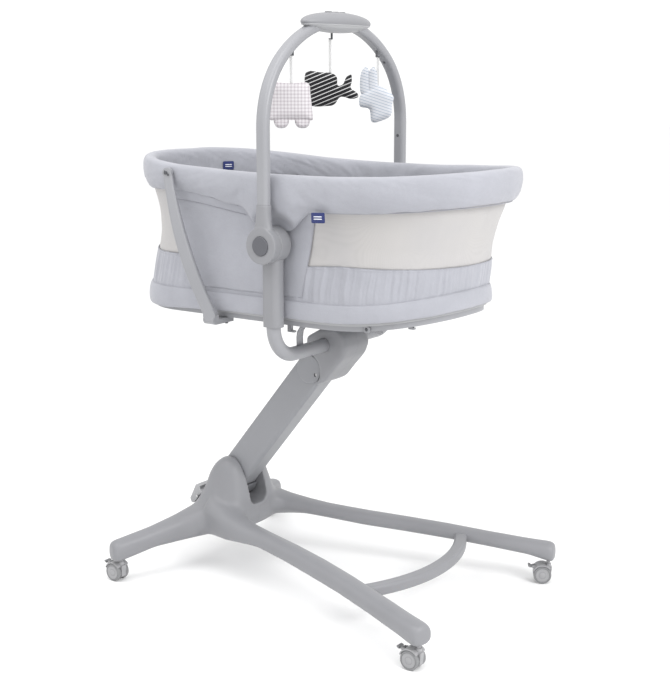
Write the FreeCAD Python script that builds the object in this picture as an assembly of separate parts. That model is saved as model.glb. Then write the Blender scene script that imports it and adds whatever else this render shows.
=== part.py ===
"""Bassinet on a height-adjustable rolling stand, with a folding play arch.

Millimetres. X runs along the tub, -Y is the near side, +Z is up, and the origin is on the floor at the
middle of the stand. The stand is symmetric about the plane y = 0, so most pieces are made on the near
side and mirrored. Each piece is one node, written as parts/NODE.step.
"""
import FreeCAD, Part
import os
from math import atan2, cos, degrees, hypot, radians, sin
from FreeCAD import Vector as V

FIT = 0.05                      # radial clearance of a pin in its bore
GAP = 0.5                       # gap between parts that move past each other

# Base
WHEEL_R = 22.0
WHEEL_W = 11.0
WHEEL_INNER = 7.5               # half the gap between a caster's two wheels
TRAIL = 14.0                    # wheel axle behind the swivel stem
STEM_R = 4.5
FRONT_STEM = (444.0, 300.0)
REAR_STEM = (-416.0, 300.0)
LEG_END_Z = 50.0                # underside of a leg at its end
CASTER_TURN = {"front_near": 0.0, "front_far": 30.0, "rear_near": 0.0, "rear_far": 15.0}
CASTER_STEM = {
    "front_near": (FRONT_STEM[0], -FRONT_STEM[1]),
    "front_far": FRONT_STEM,
    "rear_near": (REAR_STEM[0], -REAR_STEM[1]),
    "rear_far": REAR_STEM,
}
BAR_RADIUS = 400.0              # plan radius of the bowed cross bar
BAR_APEX_X = 307.0
BAR_Z = 98.0
BAR_SECTION = (30.0, 26.0)

# Column
HUB = V(-298, 0, 212)           # lower pivot of the post
KNEE = V(-34, 0, 535)           # upper pivot of the post
POST_DEPTH = 80.0
POST_WIDTH = 64.0
POST_WALL = 4.0
SLOT_HALF = POST_WIDTH / 2 + 1.5
PIN_R = 6.0
LINK_PIN_R = 4.0
LINK_DROP = V(0, 0, -20)        # each link pin below its pivot
TONGUE_HALF = 12.0
POST_LENGTH = (KNEE - HUB).Length
POST_ANGLE = degrees(atan2(KNEE.z - HUB.z, KNEE.x - HUB.x))

# Carrier
FORK_X = 20.0
FORK_HALF = 240.0               # fork leg from the middle plane
FORK_Z = 602.0                  # centre height of the cross tube
FORK_R = 16.0
FORK_BEND = 72.0
FORK_TOP = 830.0
SLEEVE_Z = 675.0
TILT = V(FORK_X, 0, 858)        # side pivots of the tub and of the arch
HOUSING_R = 40.0
HOUSING_IN = 225.0
HOUSING_OUT = 260.0
TILT_PIN_R = 8.0

# Tub
# A plan outline is (head x, foot x, half width, corner radius at the head, corner radius at the foot)
RIM_PLAN = (-465.0, 465.0, 250.0, 200.0, 240.0)
RIM_TOP = 1010.0                # lowest point of the saddle-shaped rim
RIM_LOW_X = 80.0                # where along X it is
RIM_TOP_R = 5000.0
COVER_DEPTH = 36.0
FRAME_OUT = 8.0                 # the rim frame's two faces, in from the rim's outline
FRAME_IN = 22.0
FRAME_DROP = 12.0               # its top, below the rim's top
FRAME_H = 20.0
COVER_LOW = 930.0               # lowest point of the cover's lower edge
COVER_LOW_R = 2500.0
TRAY_PLAN = (-454.0, 386.0, 208.0, 150.0, 195.0)
TRAY_Z = 686.0
TRAY_T = 14.0
TRAY_RISE_X = 100.0             # from here the tray curves up towards its foot end
TRAY_RISE_R = 1300.0
MATTRESS_PLAN = (-406.0, 324.0, 182.0, 130.0, 170.0)
WALL_T = 7.0
BAND_TOP = 820.0                # seam between the fabric band and the mesh
PANEL_Y = 215.0
STRUT_HALF = 26.0               # the steel uprights at the sides of the tub
STRUT_Y = (191.0, 195.0)
STRUT_TAB_Z = (932.0, 936.0)

# Play arch
ARCH_Y = 270.0
ARCH_SIDE_R = 200.0
ARCH_SPRING_Z = 1109.0
ARCH_RISE = 226.0
ARCH_SECTION = (29.0, 22.0)
SOCKET_Z = 946.0
BUTTON_R = 21.0
BUTTON_TRAVEL = 3.0
CONSOLE = V(FORK_X, 0, 1335)
CONSOLE_HALF = (36.0, 127.0, 23.0)
TOY_TURN = 35.0                 # the flat toys hang turned to face the side of the stand


def box(x0, x1, y0, y1, z0, z1):
    return Part.makeBox(x1 - x0, y1 - y0, z1 - z0, V(x0, y0, z0))


def cyl(base, axis, radius, length):
    return Part.makeCylinder(radius, length, base, axis)


def y_cyl(x, z, radius, y0, y1):
    return cyl(V(x, min(y0, y1), z), V(0, 1, 0), radius, abs(y1 - y0))


def far(shape):
    """The mirror image of a near-side shape."""
    return shape.mirror(V(0, 0, 0), V(0, 1, 0))


def pair(shape):
    return Part.makeCompound([shape, far(shape)])


def cut(shape, *tools):
    for tool in tools:
        shape = shape.cut(tool)
    return shape


def fuse(first, *others):
    for other in others:
        first = first.fuse(other)
    return first.removeSplitter()


def filleted(shape, radius, wanted):
    """Fillet the edges that wanted(edge) picks."""
    return shape.makeFillet(radius, [edge for edge in shape.Edges if wanted(edge)])


def prism(points, y0, y1):
    """A polygon in the XZ plane, extruded from y0 to y1."""
    ring = [V(x, y0, z) for x, z in points]
    face = Part.Face(Part.makePolygon(ring + ring[:1]))
    return face.extrude(V(0, y1 - y0, 0))


def rounded_rect(half_x, half_y, radius, centre, across, up):
    """A rectangle with round corners, in the plane of the unit vectors across and up."""
    def at(a, b):
        return centre + across * a + up * b
    flat_x = half_x - radius
    flat_y = half_y - radius
    diagonal = radius * sin(radians(45))
    edges = []
    corner = [(1, 1), (-1, 1), (-1, -1), (1, -1)]
    for index, (sx, sy) in enumerate(corner):
        nx, ny = corner[(index + 1) % 4]
        if sx == sy:
            start = at(sx * half_x, sy * flat_y)
            end = at(sx * flat_x, sy * half_y)
            nearby = at(nx * flat_x, ny * half_y)
        else:
            start = at(sx * flat_x, sy * half_y)
            end = at(sx * half_x, sy * flat_y)
            nearby = at(nx * half_x, ny * flat_y)
        middle = at(sx * (flat_x + diagonal), sy * (flat_y + diagonal))
        edges.append(Part.Arc(start, middle, end).toShape())
        edges.append(Part.LineSegment(end, nearby).toShape())
    return Part.Wire(edges)


def plan_outline(plan, inset, z):
    """The wire of a plan outline at height z, drawn in by inset."""
    head, foot, half_y, head_r, foot_r = plan
    diagonal = sin(radians(45))
    arcs = []
    for x_end, radius, along in ((head + inset, head_r - inset, -1), (foot - inset, foot_r - inset, 1)):
        centre = V(x_end - along * radius, half_y - inset - radius, z)
        side = centre + V(0, radius, 0)
        middle = centre + V(along * radius * diagonal, radius * diagonal, 0)
        arcs.append((side, middle, centre + V(along * radius, 0, 0)))
    edges = []
    for side, middle, end in arcs:
        corner = Part.Arc(side, middle, end).toShape()
        edges += [corner, far(corner)]
        edges.append(Part.LineSegment(end, V(end.x, -end.y, z)).toShape())
    flank = Part.LineSegment(arcs[0][0], arcs[1][0]).toShape()
    return Part.Wire(Part.__sortEdges__(edges + [flank, far(flank)]))


def plan_block(plan, inset, z0, z1):
    return Part.Face(plan_outline(plan, inset, z0)).extrude(V(0, 0, z1 - z0))


def loft(wires, ruled=False):
    return Part.makeLoft(wires, True, ruled)


# ---------------------------------------------------------------- base

def leg(stations):
    """A beam lofted through (x, y, top, bottom, width) stations along a straight plan line."""
    x0, y0 = stations[0][:2]
    x1, y1 = stations[-1][:2]
    run = V(x1 - x0, y1 - y0, 0).normalize()
    across = V(-run.y, run.x, 0)
    wires = []
    for x, y, top, bottom, width in stations:
        centre = V(x, y, (top + bottom) / 2)
        half_h = (top - bottom) / 2
        wires.append(rounded_rect(width / 2, half_h, min(16, half_h * 0.6), centre, across, V(0, 0, 1)))
    return loft(wires)


def long_leg():
    end_x, end_y = FRONT_STEM
    return leg([
        (-252, 80, 158, 98, 66),
        (-100, 128, 147, 100, 56),
        (120, 198, 134, 86, 52),
        (300, 254, 119, 70, 50),
        (end_x + 13, end_y + 4, 106, LEG_END_Z, 48),
    ])


def short_leg():
    end_x, end_y = REAR_STEM
    return leg([
        (-330, 66, 158, 98, 72),
        (-356, 136, 140, 88, 58),
        (-392, 234, 118, 68, 50),
        (end_x - 7, end_y + 20, 104, LEG_END_Z, 46),
    ])


def cheek():
    """Half of the hub: a dome on a spreading foot, lofted through level sections."""
    sections = [
        (98, -398, -214, -30, 112, 30),
        (122, -394, -210, -26, 114, 34),
        (150, -378, -216, -20, 100, 34),
        (180, -356, -222, 12, 84, 26),
        (215, -350, -229, 20, 77, 22),
        (245, -334, -240, 24, 73, 18),
        (266, -314, -256, 28, 66, 12),
        (276, -300, -268, 34, 56, 6),
    ]
    wires = []
    for z, x0, x1, y0, y1, radius in sections:
        centre = V((x0 + x1) / 2, (y0 + y1) / 2, z)
        wires.append(rounded_rect((x1 - x0) / 2, (y1 - y0) / 2, radius, centre, V(1, 0, 0), V(0, 1, 0)))
    return loft(wires)


def post_slot():
    """The room that the post and its cover need in the hub over their whole swing."""
    reach = 53.0
    swing = y_cyl(HUB.x, HUB.z, reach, -SLOT_HALF, SLOT_HALF)
    front = box(HUB.x, 0, -SLOT_HALF, SLOT_HALF, 168, 400)
    above = box(-420, 0, -SLOT_HALF, SLOT_HALF, HUB.z + 12, 400)
    return fuse(swing, front, above)


PEDAL_ROOM = (-440.0, -351.0, 66.0, 128.0, 206.0)   # x from, x to, half width, z from, z to


def base_shell():
    """The far base shell; its mirror image is the near one."""
    x0, x1, half, z0, z1 = PEDAL_ROOM
    shell = fuse(cheek(), long_leg(), short_leg())
    shell = shell.common(box(-600, 600, 0, 400, 0, 400))
    shell = cut(shell, post_slot(), box(x0, x1, -half, half, z0, z1), hub_core_block(), tongue(HUB, 1))
    for x, y in (FRONT_STEM, REAR_STEM):
        shell = shell.cut(cyl(V(x, y, 0), V(0, 0, 1), STEM_R + FIT, LEG_END_Z + 30))
    shell = shell.cut(hub_pin_solid(PIN_R, HUB, SLOT_HALF + 10))
    return shell.cut(y_cyl(PEDAL_PIVOT.x, PEDAL_PIVOT.z, 3, 0, 78))


def hub_core_block():
    return box(-350, -232, -TONGUE_HALF, TONGUE_HALF, 108, 152)


def tongue(pivot, side):
    """A round boss at a pivot with the arm that carries it, below and behind at the hub (side 1)
    and above and ahead at the knee (side -1)."""
    boss = y_cyl(pivot.x, pivot.z, 30, -TONGUE_HALF, TONGUE_HALF)
    if side > 0:
        points = [(-29, 8), (-52, -22), (-52, -80), (-18, -80), (-14, -26)]
    else:
        points = [(-6, 29), (40, 92), (90, 84), (102, 44), (28, -8)]
    arm = prism([(pivot.x + x, pivot.z + z) for x, z in points], -TONGUE_HALF, TONGUE_HALF)
    return fuse(boss, arm)


def pin_holes(pivot):
    """Both pins of a pivot, at their own radius."""
    post_pin = y_cyl(pivot.x, pivot.z, PIN_R, -60, 60)
    link = pivot + LINK_DROP
    return [post_pin, y_cyl(link.x, link.z, LINK_PIN_R, -60, 60)]


def hub_pin_solid(radius, pivot, half):
    return y_cyl(pivot.x, pivot.z, radius, -half, half)


def hub_core():
    return cut(fuse(hub_core_block(), tongue(HUB, 1)), *pin_holes(HUB))


def pivot_pins(pivot, half):
    """The post pin, and the link pin that stands out on the far side only."""
    post_pin = hub_pin_solid(PIN_R, pivot, half)
    link = pivot + LINK_DROP
    link_pin = y_cyl(link.x, link.z, LINK_PIN_R, -TONGUE_HALF, LINK_Y[1] + 3)
    return Part.makeCompound([post_pin, link_pin])


PEDAL_PIVOT = V(-362, 0, 168)


def foot_pedal():
    """A ribbed tread on two arms, hinged on its axle behind the hub."""
    tread = prism([(-368, 188), (-382, 190), (-402, 150), (-398, 140), (-390, 140), (-368, 168)], -58, 58)
    for index in range(-5, 6):
        y = index * 10.0
        tread = tread.cut(prism([(-386, 188), (-406, 148), (-399, 146), (-380, 186)], y - 2, y + 2))
    arm = prism([(-362, 176), (-374, 184), (-380, 168), (-368, 160)], -58, 58)
    boss = y_cyl(PEDAL_PIVOT.x, PEDAL_PIVOT.z, 8, -58, 58)
    return cut(fuse(tread, arm, boss), y_cyl(PEDAL_PIVOT.x, PEDAL_PIVOT.z, 3 + FIT, -70, 70))


def pedal_axle():
    return y_cyl(PEDAL_PIVOT.x, PEDAL_PIVOT.z, 3, -78, 78)


def cross_bar():
    """A bar bowed towards the front, between the two long legs."""
    centre = V(BAR_APEX_X - BAR_RADIUS, 0, BAR_Z)
    reach = radians(38)
    ends = [centre + V(BAR_RADIUS * cos(a), BAR_RADIUS * sin(a), 0) for a in (-reach, 0, reach)]
    path = Part.Wire(Part.Arc(*ends).toShape())
    out = (ends[0] - centre).normalize()
    section = rounded_rect(BAR_SECTION[0] / 2, BAR_SECTION[1] / 2, 7, ends[0], out, V(0, 0, 1))
    bar = path.makePipeShell([section], True, True)
    legs = long_leg()
    bar = cut(bar, legs, far(legs))
    return max(bar.Solids, key=lambda solid: solid.Volume)


# ---------------------------------------------------------------- casters

def turned(shape, name):
    x, y = CASTER_STEM[name]
    shape = shape.copy()
    shape.rotate(V(0, 0, 0), V(0, 0, 1), CASTER_TURN[name])
    shape.translate(V(x, y, 0))
    return shape


def caster_fork():
    """Stem, centre web and fender, with the stem on the local Z axis."""
    stem = cyl(V(0, 0, 36), V(0, 0, 1), STEM_R, LEG_END_Z + 27 - 36)
    collar = cyl(V(0, 0, 36), V(0, 0, 1), WHEEL_INNER - GAP, LEG_END_Z - 1.5 - 36)
    web = prism([(-22, 16), (-6, 8), (7, 12), (9, 40), (-22, 42)], -WHEEL_INNER + GAP, WHEEL_INNER - GAP)
    arc = y_cyl(-TRAIL, WHEEL_R, WHEEL_R + 3.5, -WHEEL_INNER - WHEEL_W, WHEEL_INNER + WHEEL_W)
    arc = arc.cut(y_cyl(-TRAIL, WHEEL_R, WHEEL_R + 1.0, -30, 30))
    fender = arc.common(box(-36, 4, -30, 30, 30, 60))
    x, z = BRAKE_PIVOT
    lug = prism([(x + 8, z + 4), (x - 1, z + 3), (x - 2, z - 1), (x + 5, z - 4)], 5.5, 8)
    lug = cut(lug, brake_pin(), y_cyl(-TRAIL, WHEEL_R, WHEEL_R + 1.0, -30, 30))
    joined = fuse(stem, collar, web, fender, lug, far(lug))
    return joined.cut(y_cyl(-TRAIL, WHEEL_R, 3 + FIT, -30, 30))


def caster_wheels():
    """Two treaded wheels on one axle."""
    wheels = []
    for side in (-1, 1):
        inner = side * WHEEL_INNER
        outer = side * (WHEEL_INNER + WHEEL_W)
        tyre = y_cyl(-TRAIL, WHEEL_R, WHEEL_R, inner, outer)
        tyre = filleted(tyre, 2.0, lambda edge: edge.Length > 100)
        dish = y_cyl(-TRAIL, WHEEL_R, WHEEL_R - 6, outer, outer - side * 1.2)
        wheels.append(tyre.cut(dish).cut(y_cyl(-TRAIL, WHEEL_R, 3, inner, outer - side * 3)))
    axle = y_cyl(-TRAIL, WHEEL_R, 3, -WHEEL_INNER - WHEEL_W + 3, WHEEL_INNER + WHEEL_W - 3)
    return Part.makeCompound(wheels + [axle])


BRAKE_PIVOT = (-38.0, 39.0)
BRAKE_PIN_R = 1.0


def caster_brake():
    """The tab behind the fender that locks the wheels when it is pressed down."""
    x, z = BRAKE_PIVOT
    neck = prism([(x - 1, z + 2.8), (x - 6, z + 4), (x - 6, z), (x - 1, z - 2.8)], -5, 5)
    tab = prism([(x - 5, z + 4), (x - 11, z + 5), (x - 11, z + 2), (x - 5, z - 1)], -9, 9)
    barrel = y_cyl(x, z, 3, -5, 5)
    return fuse(neck, tab, barrel).cut(y_cyl(x, z, BRAKE_PIN_R + FIT, -20, 20))


def brake_pin():
    x, z = BRAKE_PIVOT
    return y_cyl(x, z, BRAKE_PIN_R, -8, 8)


# ---------------------------------------------------------------- column

LINK_Y = (14.0, 22.0)


def along_post(shape):
    """From the post's own frame, X up the post from the hub pivot, to its place."""
    shape = shape.copy()
    shape.rotate(V(0, 0, 0), V(0, 1, 0), -POST_ANGLE)
    shape.translate(HUB)
    return shape


def capsule(length, radius, y0, y1):
    """A plate with round ends about the two pivots."""
    plate = box(0, length, y0, y1, -radius, radius)
    return fuse(plate, y_cyl(0, 0, radius, y0, y1), y_cyl(length, 0, radius, y0, y1))


def post_shell():
    """A square tube whose side walls run on round the pivots."""
    half = POST_WIDTH / 2
    depth = POST_DEPTH / 2
    outer = capsule(POST_LENGTH, depth, -half, half)
    outer = filleted(outer, 9.0, lambda edge: abs(abs(edge.BoundBox.YMin) - half) < 0.01
                     and edge.BoundBox.YLength < 0.01)
    hollow = capsule(POST_LENGTH, depth - POST_WALL, POST_WALL - half, half - POST_WALL)
    open_low = box(-60, 17, POST_WALL - half, half - POST_WALL, -60, 60)
    open_high = box(POST_LENGTH - 14, POST_LENGTH + 60, POST_WALL - half, half - POST_WALL, -60, 60)
    bores = [y_cyl(x, 0, PIN_R + FIT, -60, 60) for x in (0, POST_LENGTH)]
    return along_post(cut(outer, hollow, open_low, open_high, *bores))


def slot_cover():
    """The dark curved cover that turns with the post and closes the slot below it."""
    ring = y_cyl(HUB.x, HUB.z, 50, -28, 28).cut(y_cyl(HUB.x, HUB.z, 46, -30, 30))
    wedge = prism([(HUB.x, HUB.z), (HUB.x + 90, HUB.z - 24), (HUB.x + 60, HUB.z - 104)], -30, 30)
    arc = ring.common(wedge)
    return arc.cut(along_post(capsule(POST_LENGTH, POST_DEPTH / 2, -40, 40)))


def cover_ribs():
    """Two ribs that hold the slot cover under the post."""
    rib = y_cyl(HUB.x, HUB.z, 46, -27.5, -24.5).cut(y_cyl(HUB.x, HUB.z, 34, -30, -20))
    wedge = prism([(HUB.x, HUB.z), (HUB.x + 90, HUB.z - 24), (HUB.x + 60, HUB.z - 104)], -30, -20)
    rib = rib.common(wedge).cut(along_post(capsule(POST_LENGTH, POST_DEPTH / 2, -40, 40)))
    return [rib, far(rib)]


def post_caps():
    """The round screw caps on both sides of the knee pivot, and their screws' sinks."""
    cap = y_cyl(KNEE.x, KNEE.z, 35, -POST_WIDTH / 2 - 7, -POST_WIDTH / 2)
    cap = filleted(cap, 2.5, lambda edge: abs(edge.BoundBox.YMin + POST_WIDTH / 2 + 7) < 0.01)
    cap = cap.cut(y_cyl(KNEE.x + 20, KNEE.z - 12, 4.5, -60, -POST_WIDTH / 2 - 2))
    return pair(cap)


def cap_screws():
    head = y_cyl(KNEE.x + 20, KNEE.z - 12, 3.8, -POST_WIDTH / 2 - 4, -POST_WIDTH / 2 - 2)
    head = head.cut(y_cyl(KNEE.x + 20, KNEE.z - 12, 1.6, -POST_WIDTH / 2 - 5, -POST_WIDTH / 2 - 3))
    return pair(head)


def link_rod():
    """The parallel link inside the post, between the two link pins."""
    y0, y1 = LINK_Y
    bar = box(0, POST_LENGTH, y0, y1, -5, 5)
    eyes = [y_cyl(x, 0, 9, y0, y1) for x in (0, POST_LENGTH)]
    rod = cut(fuse(bar, *eyes), *[y_cyl(x, 0, LINK_PIN_R + FIT, -60, 60) for x in (0, POST_LENGTH)])
    rod = along_post(rod)
    rod.translate(LINK_DROP)
    return rod


# ---------------------------------------------------------------- carrier

def fork_path(radius_section):
    """The U tube: down one side, round the bend, across, and up the other side."""
    low = FORK_Z + FORK_BEND
    turn = FORK_BEND * (1 - cos(radians(45)))
    inner = FORK_HALF - FORK_BEND
    points = [V(FORK_X, -FORK_HALF, FORK_TOP), V(FORK_X, -FORK_HALF, low), V(FORK_X, -inner, FORK_Z)]
    bend = V(FORK_X, -FORK_HALF + turn, FORK_Z + turn)
    near = [Part.LineSegment(points[0], points[1]).toShape(), Part.Arc(points[1], bend, points[2]).toShape()]
    other = [edge.mirror(V(0, 0, 0), V(0, 1, 0)) for edge in near]
    across = Part.LineSegment(points[2], V(FORK_X, inner, FORK_Z)).toShape()
    path = Part.Wire(Part.__sortEdges__(near + [across] + other))
    ring = Part.Wire(Part.makeCircle(radius_section, points[0], V(0, 0, 1)))
    return path.makePipeShell([ring], True, True)


def fork_tube():
    return fork_path(FORK_R).cut(fork_path(FORK_R - 2.5))


def knuckle_outline(shrink):
    """The pear-shaped side outline of the knuckle, drawn in by shrink, open round the post's end."""
    reach = POST_DEPTH / 2 + 2 + shrink
    nose = (42.0, 580.0, 46.0 - shrink)
    brow = (0.0, 582.0, 50.0 - shrink)
    chin = (24.0, 552.0, 34.0 - shrink)
    discs = [y_cyl(x, z, r, 0, 1) for x, z, r in (nose, brow, chin)]
    body = fuse(*discs, prism([brow[:2], nose[:2], chin[:2]], 0, 1))
    hull = prism([(brow[0], brow[1] + brow[2]), (nose[0] + 8, nose[1] + nose[2] - 0.5),
                  (nose[0], nose[1]), (chin[0], chin[1]), (brow[0], brow[1])], 0, 1)
    return cut(fuse(body, hull), y_cyl(KNEE.x, KNEE.z, reach, -1, 2))


def knuckle_shell():
    """The far knuckle shell: half of a rounded shroud round the core and the fork tube."""
    outer = None
    for y0, y1, shrink in ((0.0, 38.0, 0.0), (38.0, 46.0, 2.5), (46.0, 51.0, 7.0)):
        slab = knuckle_outline(shrink)
        slab = slab.transformGeometry(stretch_y(y1 - y0))
        slab.translate(V(0, y0, 0))
        outer = slab if outer is None else outer.fuse(slab)
    outer = outer.removeSplitter()
    tools = [tongue(KNEE, -1), fork_path(FORK_R)]
    return cut(outer, *tools)


def stretch_y(factor):
    matrix = FreeCAD.Matrix()
    matrix.scale(1, factor, 1)
    return matrix


def knuckle_core():
    return cut(tongue(KNEE, -1), fork_path(FORK_R), *pin_holes(KNEE))


def fork_sleeve():
    """The far sleeve over the fork's leg, ending in the round pivot housing."""
    section = rounded_rect(23, 17.5, 15, V(FORK_X, FORK_HALF, SLEEVE_Z), V(1, 0, 0), V(0, 1, 0))
    sleeve = Part.Face(section).extrude(V(0, 0, TILT.z - SLEEVE_Z))
    housing = y_cyl(TILT.x, TILT.z, HOUSING_R, HOUSING_IN, HOUSING_OUT)
    housing = filleted(housing, 3.0, lambda edge: edge.Length > 200)
    leg_room = cyl(V(FORK_X, FORK_HALF, 500), V(0, 0, 1), FORK_R, FORK_TOP - 500)
    return cut(fuse(sleeve, housing), leg_room, tilt_pin())


def tilt_pin():
    return y_cyl(TILT.x, TILT.z, TILT_PIN_R, 197, HOUSING_OUT - 1)


def loop_bracket():
    """The small far loop that stands on the fork's cross tube and steadies the tray."""
    leg_up = box(FORK_X - 5, FORK_X + 5, 140, 146, FORK_Z + FORK_R - 1.2, 660)
    lean = prism([(0, 0), (10, 0), (10, 24), (0, 24)], 0, 6)
    lean.rotate(V(0, 0, 0), V(1, 0, 0), 50)
    lean.translate(V(FORK_X - 5, 140, 656))
    return cut(fuse(leg_up, lean), fork_path(FORK_R), box(-50, 90, 90, 200, 678, 720))


# ---------------------------------------------------------------- tub

def saddle(z, x, radius, z_far):
    """The space from a curved surface, lowest at (x, z), up to z_far."""
    block = box(-600, 600, -320, 320, z - 5, z_far)
    return block.common(y_cyl(x, z + radius, radius, -330, 330))


def ring(plan, inset_out, inset_in, z0, z1):
    return plan_block(plan, inset_out, z0, z1).cut(plan_block(plan, inset_in, z0, z1))


def rim_ring(inset_out, inset_in, drop_top, rise_low=None):
    """A ring of the rim whose top is drop_top below the rim's own, and whose height, if given, is
    rise_low; otherwise it goes down to the cover's lower edge."""
    band = ring(RIM_PLAN, inset_out, inset_in, 900, 1100)
    band = band.cut(saddle(RIM_TOP - drop_top, RIM_LOW_X, RIM_TOP_R, 1200))
    if rise_low is None:
        return band.common(saddle(COVER_LOW, 0, COVER_LOW_R, 1200))
    return band.common(saddle(RIM_TOP - drop_top - rise_low, RIM_LOW_X, RIM_TOP_R, 1200))


def rim_frame():
    return cut(rim_ring(FRAME_OUT, FRAME_IN, FRAME_DROP, FRAME_H), stay_pin(), far(stay_pin()))


def rim_cover():
    hollow = rim_ring(FRAME_OUT, FRAME_IN, FRAME_DROP, FRAME_H)
    return cut(rim_ring(0, COVER_DEPTH, 0), hollow, *side_struts_solids(), stay_pin(), far(stay_pin()))


def side_struts_solids():
    """Steel uprights that join the tray frame, the tub pivots and the rim frame: up inside the wall,
    out below the rim, and up again inside its cover."""
    x0, x1 = FORK_X - STRUT_HALF, FORK_X + STRUT_HALF
    y0, y1 = STRUT_Y
    tab_low, tab_high = STRUT_TAB_Z
    frame_y = RIM_PLAN[2] - FRAME_IN
    plate = box(x0, x1, y0, y1, TRAY_Z + TRAY_T, tab_high)
    tab = box(x0, x1, y1, frame_y, tab_low, tab_high)
    riser = box(x0, x1, frame_y - (y1 - y0), frame_y, tab_low, RIM_TOP - FRAME_DROP - FRAME_H / 2)
    boss = y_cyl(TILT.x, TILT.z, 2 * TILT_PIN_R, y1, y1 + 8)
    strut = fuse(plate, tab, riser, boss).cut(y_cyl(TILT.x, TILT.z, TILT_PIN_R + FIT, 180, 260))
    return [strut, far(strut)]


def above_tray(rise):
    """The space above the tray's curved underside, lifted by rise."""
    flat = box(-600, TRAY_RISE_X, -320, 320, TRAY_Z + rise, 1200)
    curved = box(TRAY_RISE_X, 600, -320, 320, TRAY_Z + rise - 5, 1200)
    curved = curved.common(y_cyl(TRAY_RISE_X, TRAY_Z + rise + TRAY_RISE_R, TRAY_RISE_R, -330, 330))
    return fuse(flat, curved)


def tray():
    block = plan_block(TRAY_PLAN, 0, 600, 800)
    return block.common(above_tray(0)).cut(above_tray(TRAY_T))


def tray_frame():
    """The perimeter tube under the tray, with two cross members."""
    hoop = ring(TRAY_PLAN, 6, 20, 600, 800)
    hoop = hoop.common(above_tray(-12)).cut(above_tray(0))
    for x in (-200, 160):
        member = box(x - 10, x + 10, 20 - TRAY_PLAN[2], TRAY_PLAN[2] - 20, TRAY_Z - 12, TRAY_Z)
        hoop = hoop.fuse(member)
    return hoop.removeSplitter()


def wall_space(inset):
    """The solid inside the wall's outer face, drawn in by inset. The face pulls in at mid-height."""
    stations = {
        680: (-452, 386, 208, 150, 195),
        760: (-443, 388, 209, 150, 195),
        850: (-428, 397, 206, 155, 190),
        905: (-429, 412, 210, 160, 195),
        950: (-438, 430, 226, 175, 210),
        990: (-442, 440, 232, 180, 215),
    }
    return loft([plan_outline(plan, inset, z) for z, plan in stations.items()])


def wall(z0, z1):
    shell = wall_space(0).cut(wall_space(WALL_T))
    shell = shell.common(box(-600, 600, -320, 320, z0, z1)).common(above_tray(TRAY_T))
    shell = shell.cut(saddle(COVER_LOW, 0, COVER_LOW_R, 1200))
    for side in (-1, 1):
        shell = shell.cut(y_cyl(TILT.x, TILT.z, 18, side * 180, side * 300))
    return shell


def side_panel():
    """The far padded panel on the outside of the wall."""
    panel = prism([(-183, 740), (92, 740), (132, 905), (-236, 905)], PANEL_Y, PANEL_Y + 5)
    return panel.cut(y_cyl(TILT.x, TILT.z, 18, 180, 300))


def mattress():
    outline = plan_block(MATTRESS_PLAN, 0, 600, 800)
    return outline.common(above_tray(TRAY_T + 1)).cut(above_tray(TRAY_T + 52))


STAY_TOP = V(-264, -262, 1003)
STAY_ELBOW = V(-158, -246, 684)
STAY_HEAD = (6.0, 11.0)         # half thickness and half width of the bar at its top
STAY_FOOT = (9.0, 15.0)         # and in its lower half
STAY_BOW = [(0.0, 0.0), (0.25, 11.0), (0.5, 15.0), (0.75, 11.0), (1.0, 0.0)]   # share of length, bow to the head


def stay():
    """The near stay: a flat bar from the rim pin down to an elbow that turns in under the tray."""
    down = STAY_ELBOW - STAY_TOP
    length = down.Length
    wires = []
    for share, bow in STAY_BOW:
        grown = min(1.0, 2 * share)
        half_t, half_w = [head + (toe - head) * grown for head, toe in zip(STAY_HEAD, STAY_FOOT)]
        wires.append(rounded_rect(half_t, half_w, half_t * 0.8, V(0, -bow, share * length), V(1, 0, 0), V(0, 1, 0)))
    bar = loft(wires)
    ends = [cyl(V(-half_t, 0, z), V(1, 0, 0), half_w, 2 * half_t)
            for z, (half_t, half_w) in ((0, STAY_HEAD), (length, STAY_FOOT))]
    bar = fuse(bar, *ends)
    bar.rotate(V(0, 0, 0), V(0, 0, 1), 90)
    bar.Placement = FreeCAD.Placement(STAY_TOP, FreeCAD.Rotation(V(0, 0, 1), down)).multiply(bar.Placement)
    half_w = STAY_FOOT[1]
    foot = box(STAY_ELBOW.x - half_w, STAY_ELBOW.x + half_w, STAY_ELBOW.y + 4, -182, 662, 673)
    knee = cyl(V(STAY_ELBOW.x - half_w, STAY_ELBOW.y + 2, 673), V(1, 0, 0), 11, 2 * half_w)
    return fuse(bar, knee, foot).cut(box(-300, 0, -250, -180, 674, 760).common(
        box(-300, 0, -TRAY_PLAN[2] - 16, 0, 600, 800)))


def stay_pin():
    """The pin that holds the near stay's top to the rim frame."""
    return y_cyl(STAY_TOP.x, STAY_TOP.z, 4, -271, -237)


def stays():
    return pair(stay().cut(stay_pin()))


def stay_fasteners():
    """The rim pins and the foot bolts of both stays."""
    bolt = cyl(V(STAY_ELBOW.x, -190, 656), V(0, 0, 1), 4, 6)
    bolts = [stay_pin(), bolt]
    return Part.makeCompound(bolts + [far(one) for one in bolts])


def tray_underside(x):
    """Height of the tray's underside at x."""
    past = max(0.0, x - TRAY_RISE_X)
    return TRAY_Z + TRAY_RISE_R - (TRAY_RISE_R ** 2 - past ** 2) ** 0.5


def tray_edge_y(x, inset):
    """Half width of the tray's outline at its foot end, drawn in by inset, at x."""
    _, foot, half_y, _, radius = TRAY_PLAN
    past = max(0.0, x - (foot - radius))
    return half_y - radius + ((radius - inset) ** 2 - past ** 2) ** 0.5


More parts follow.
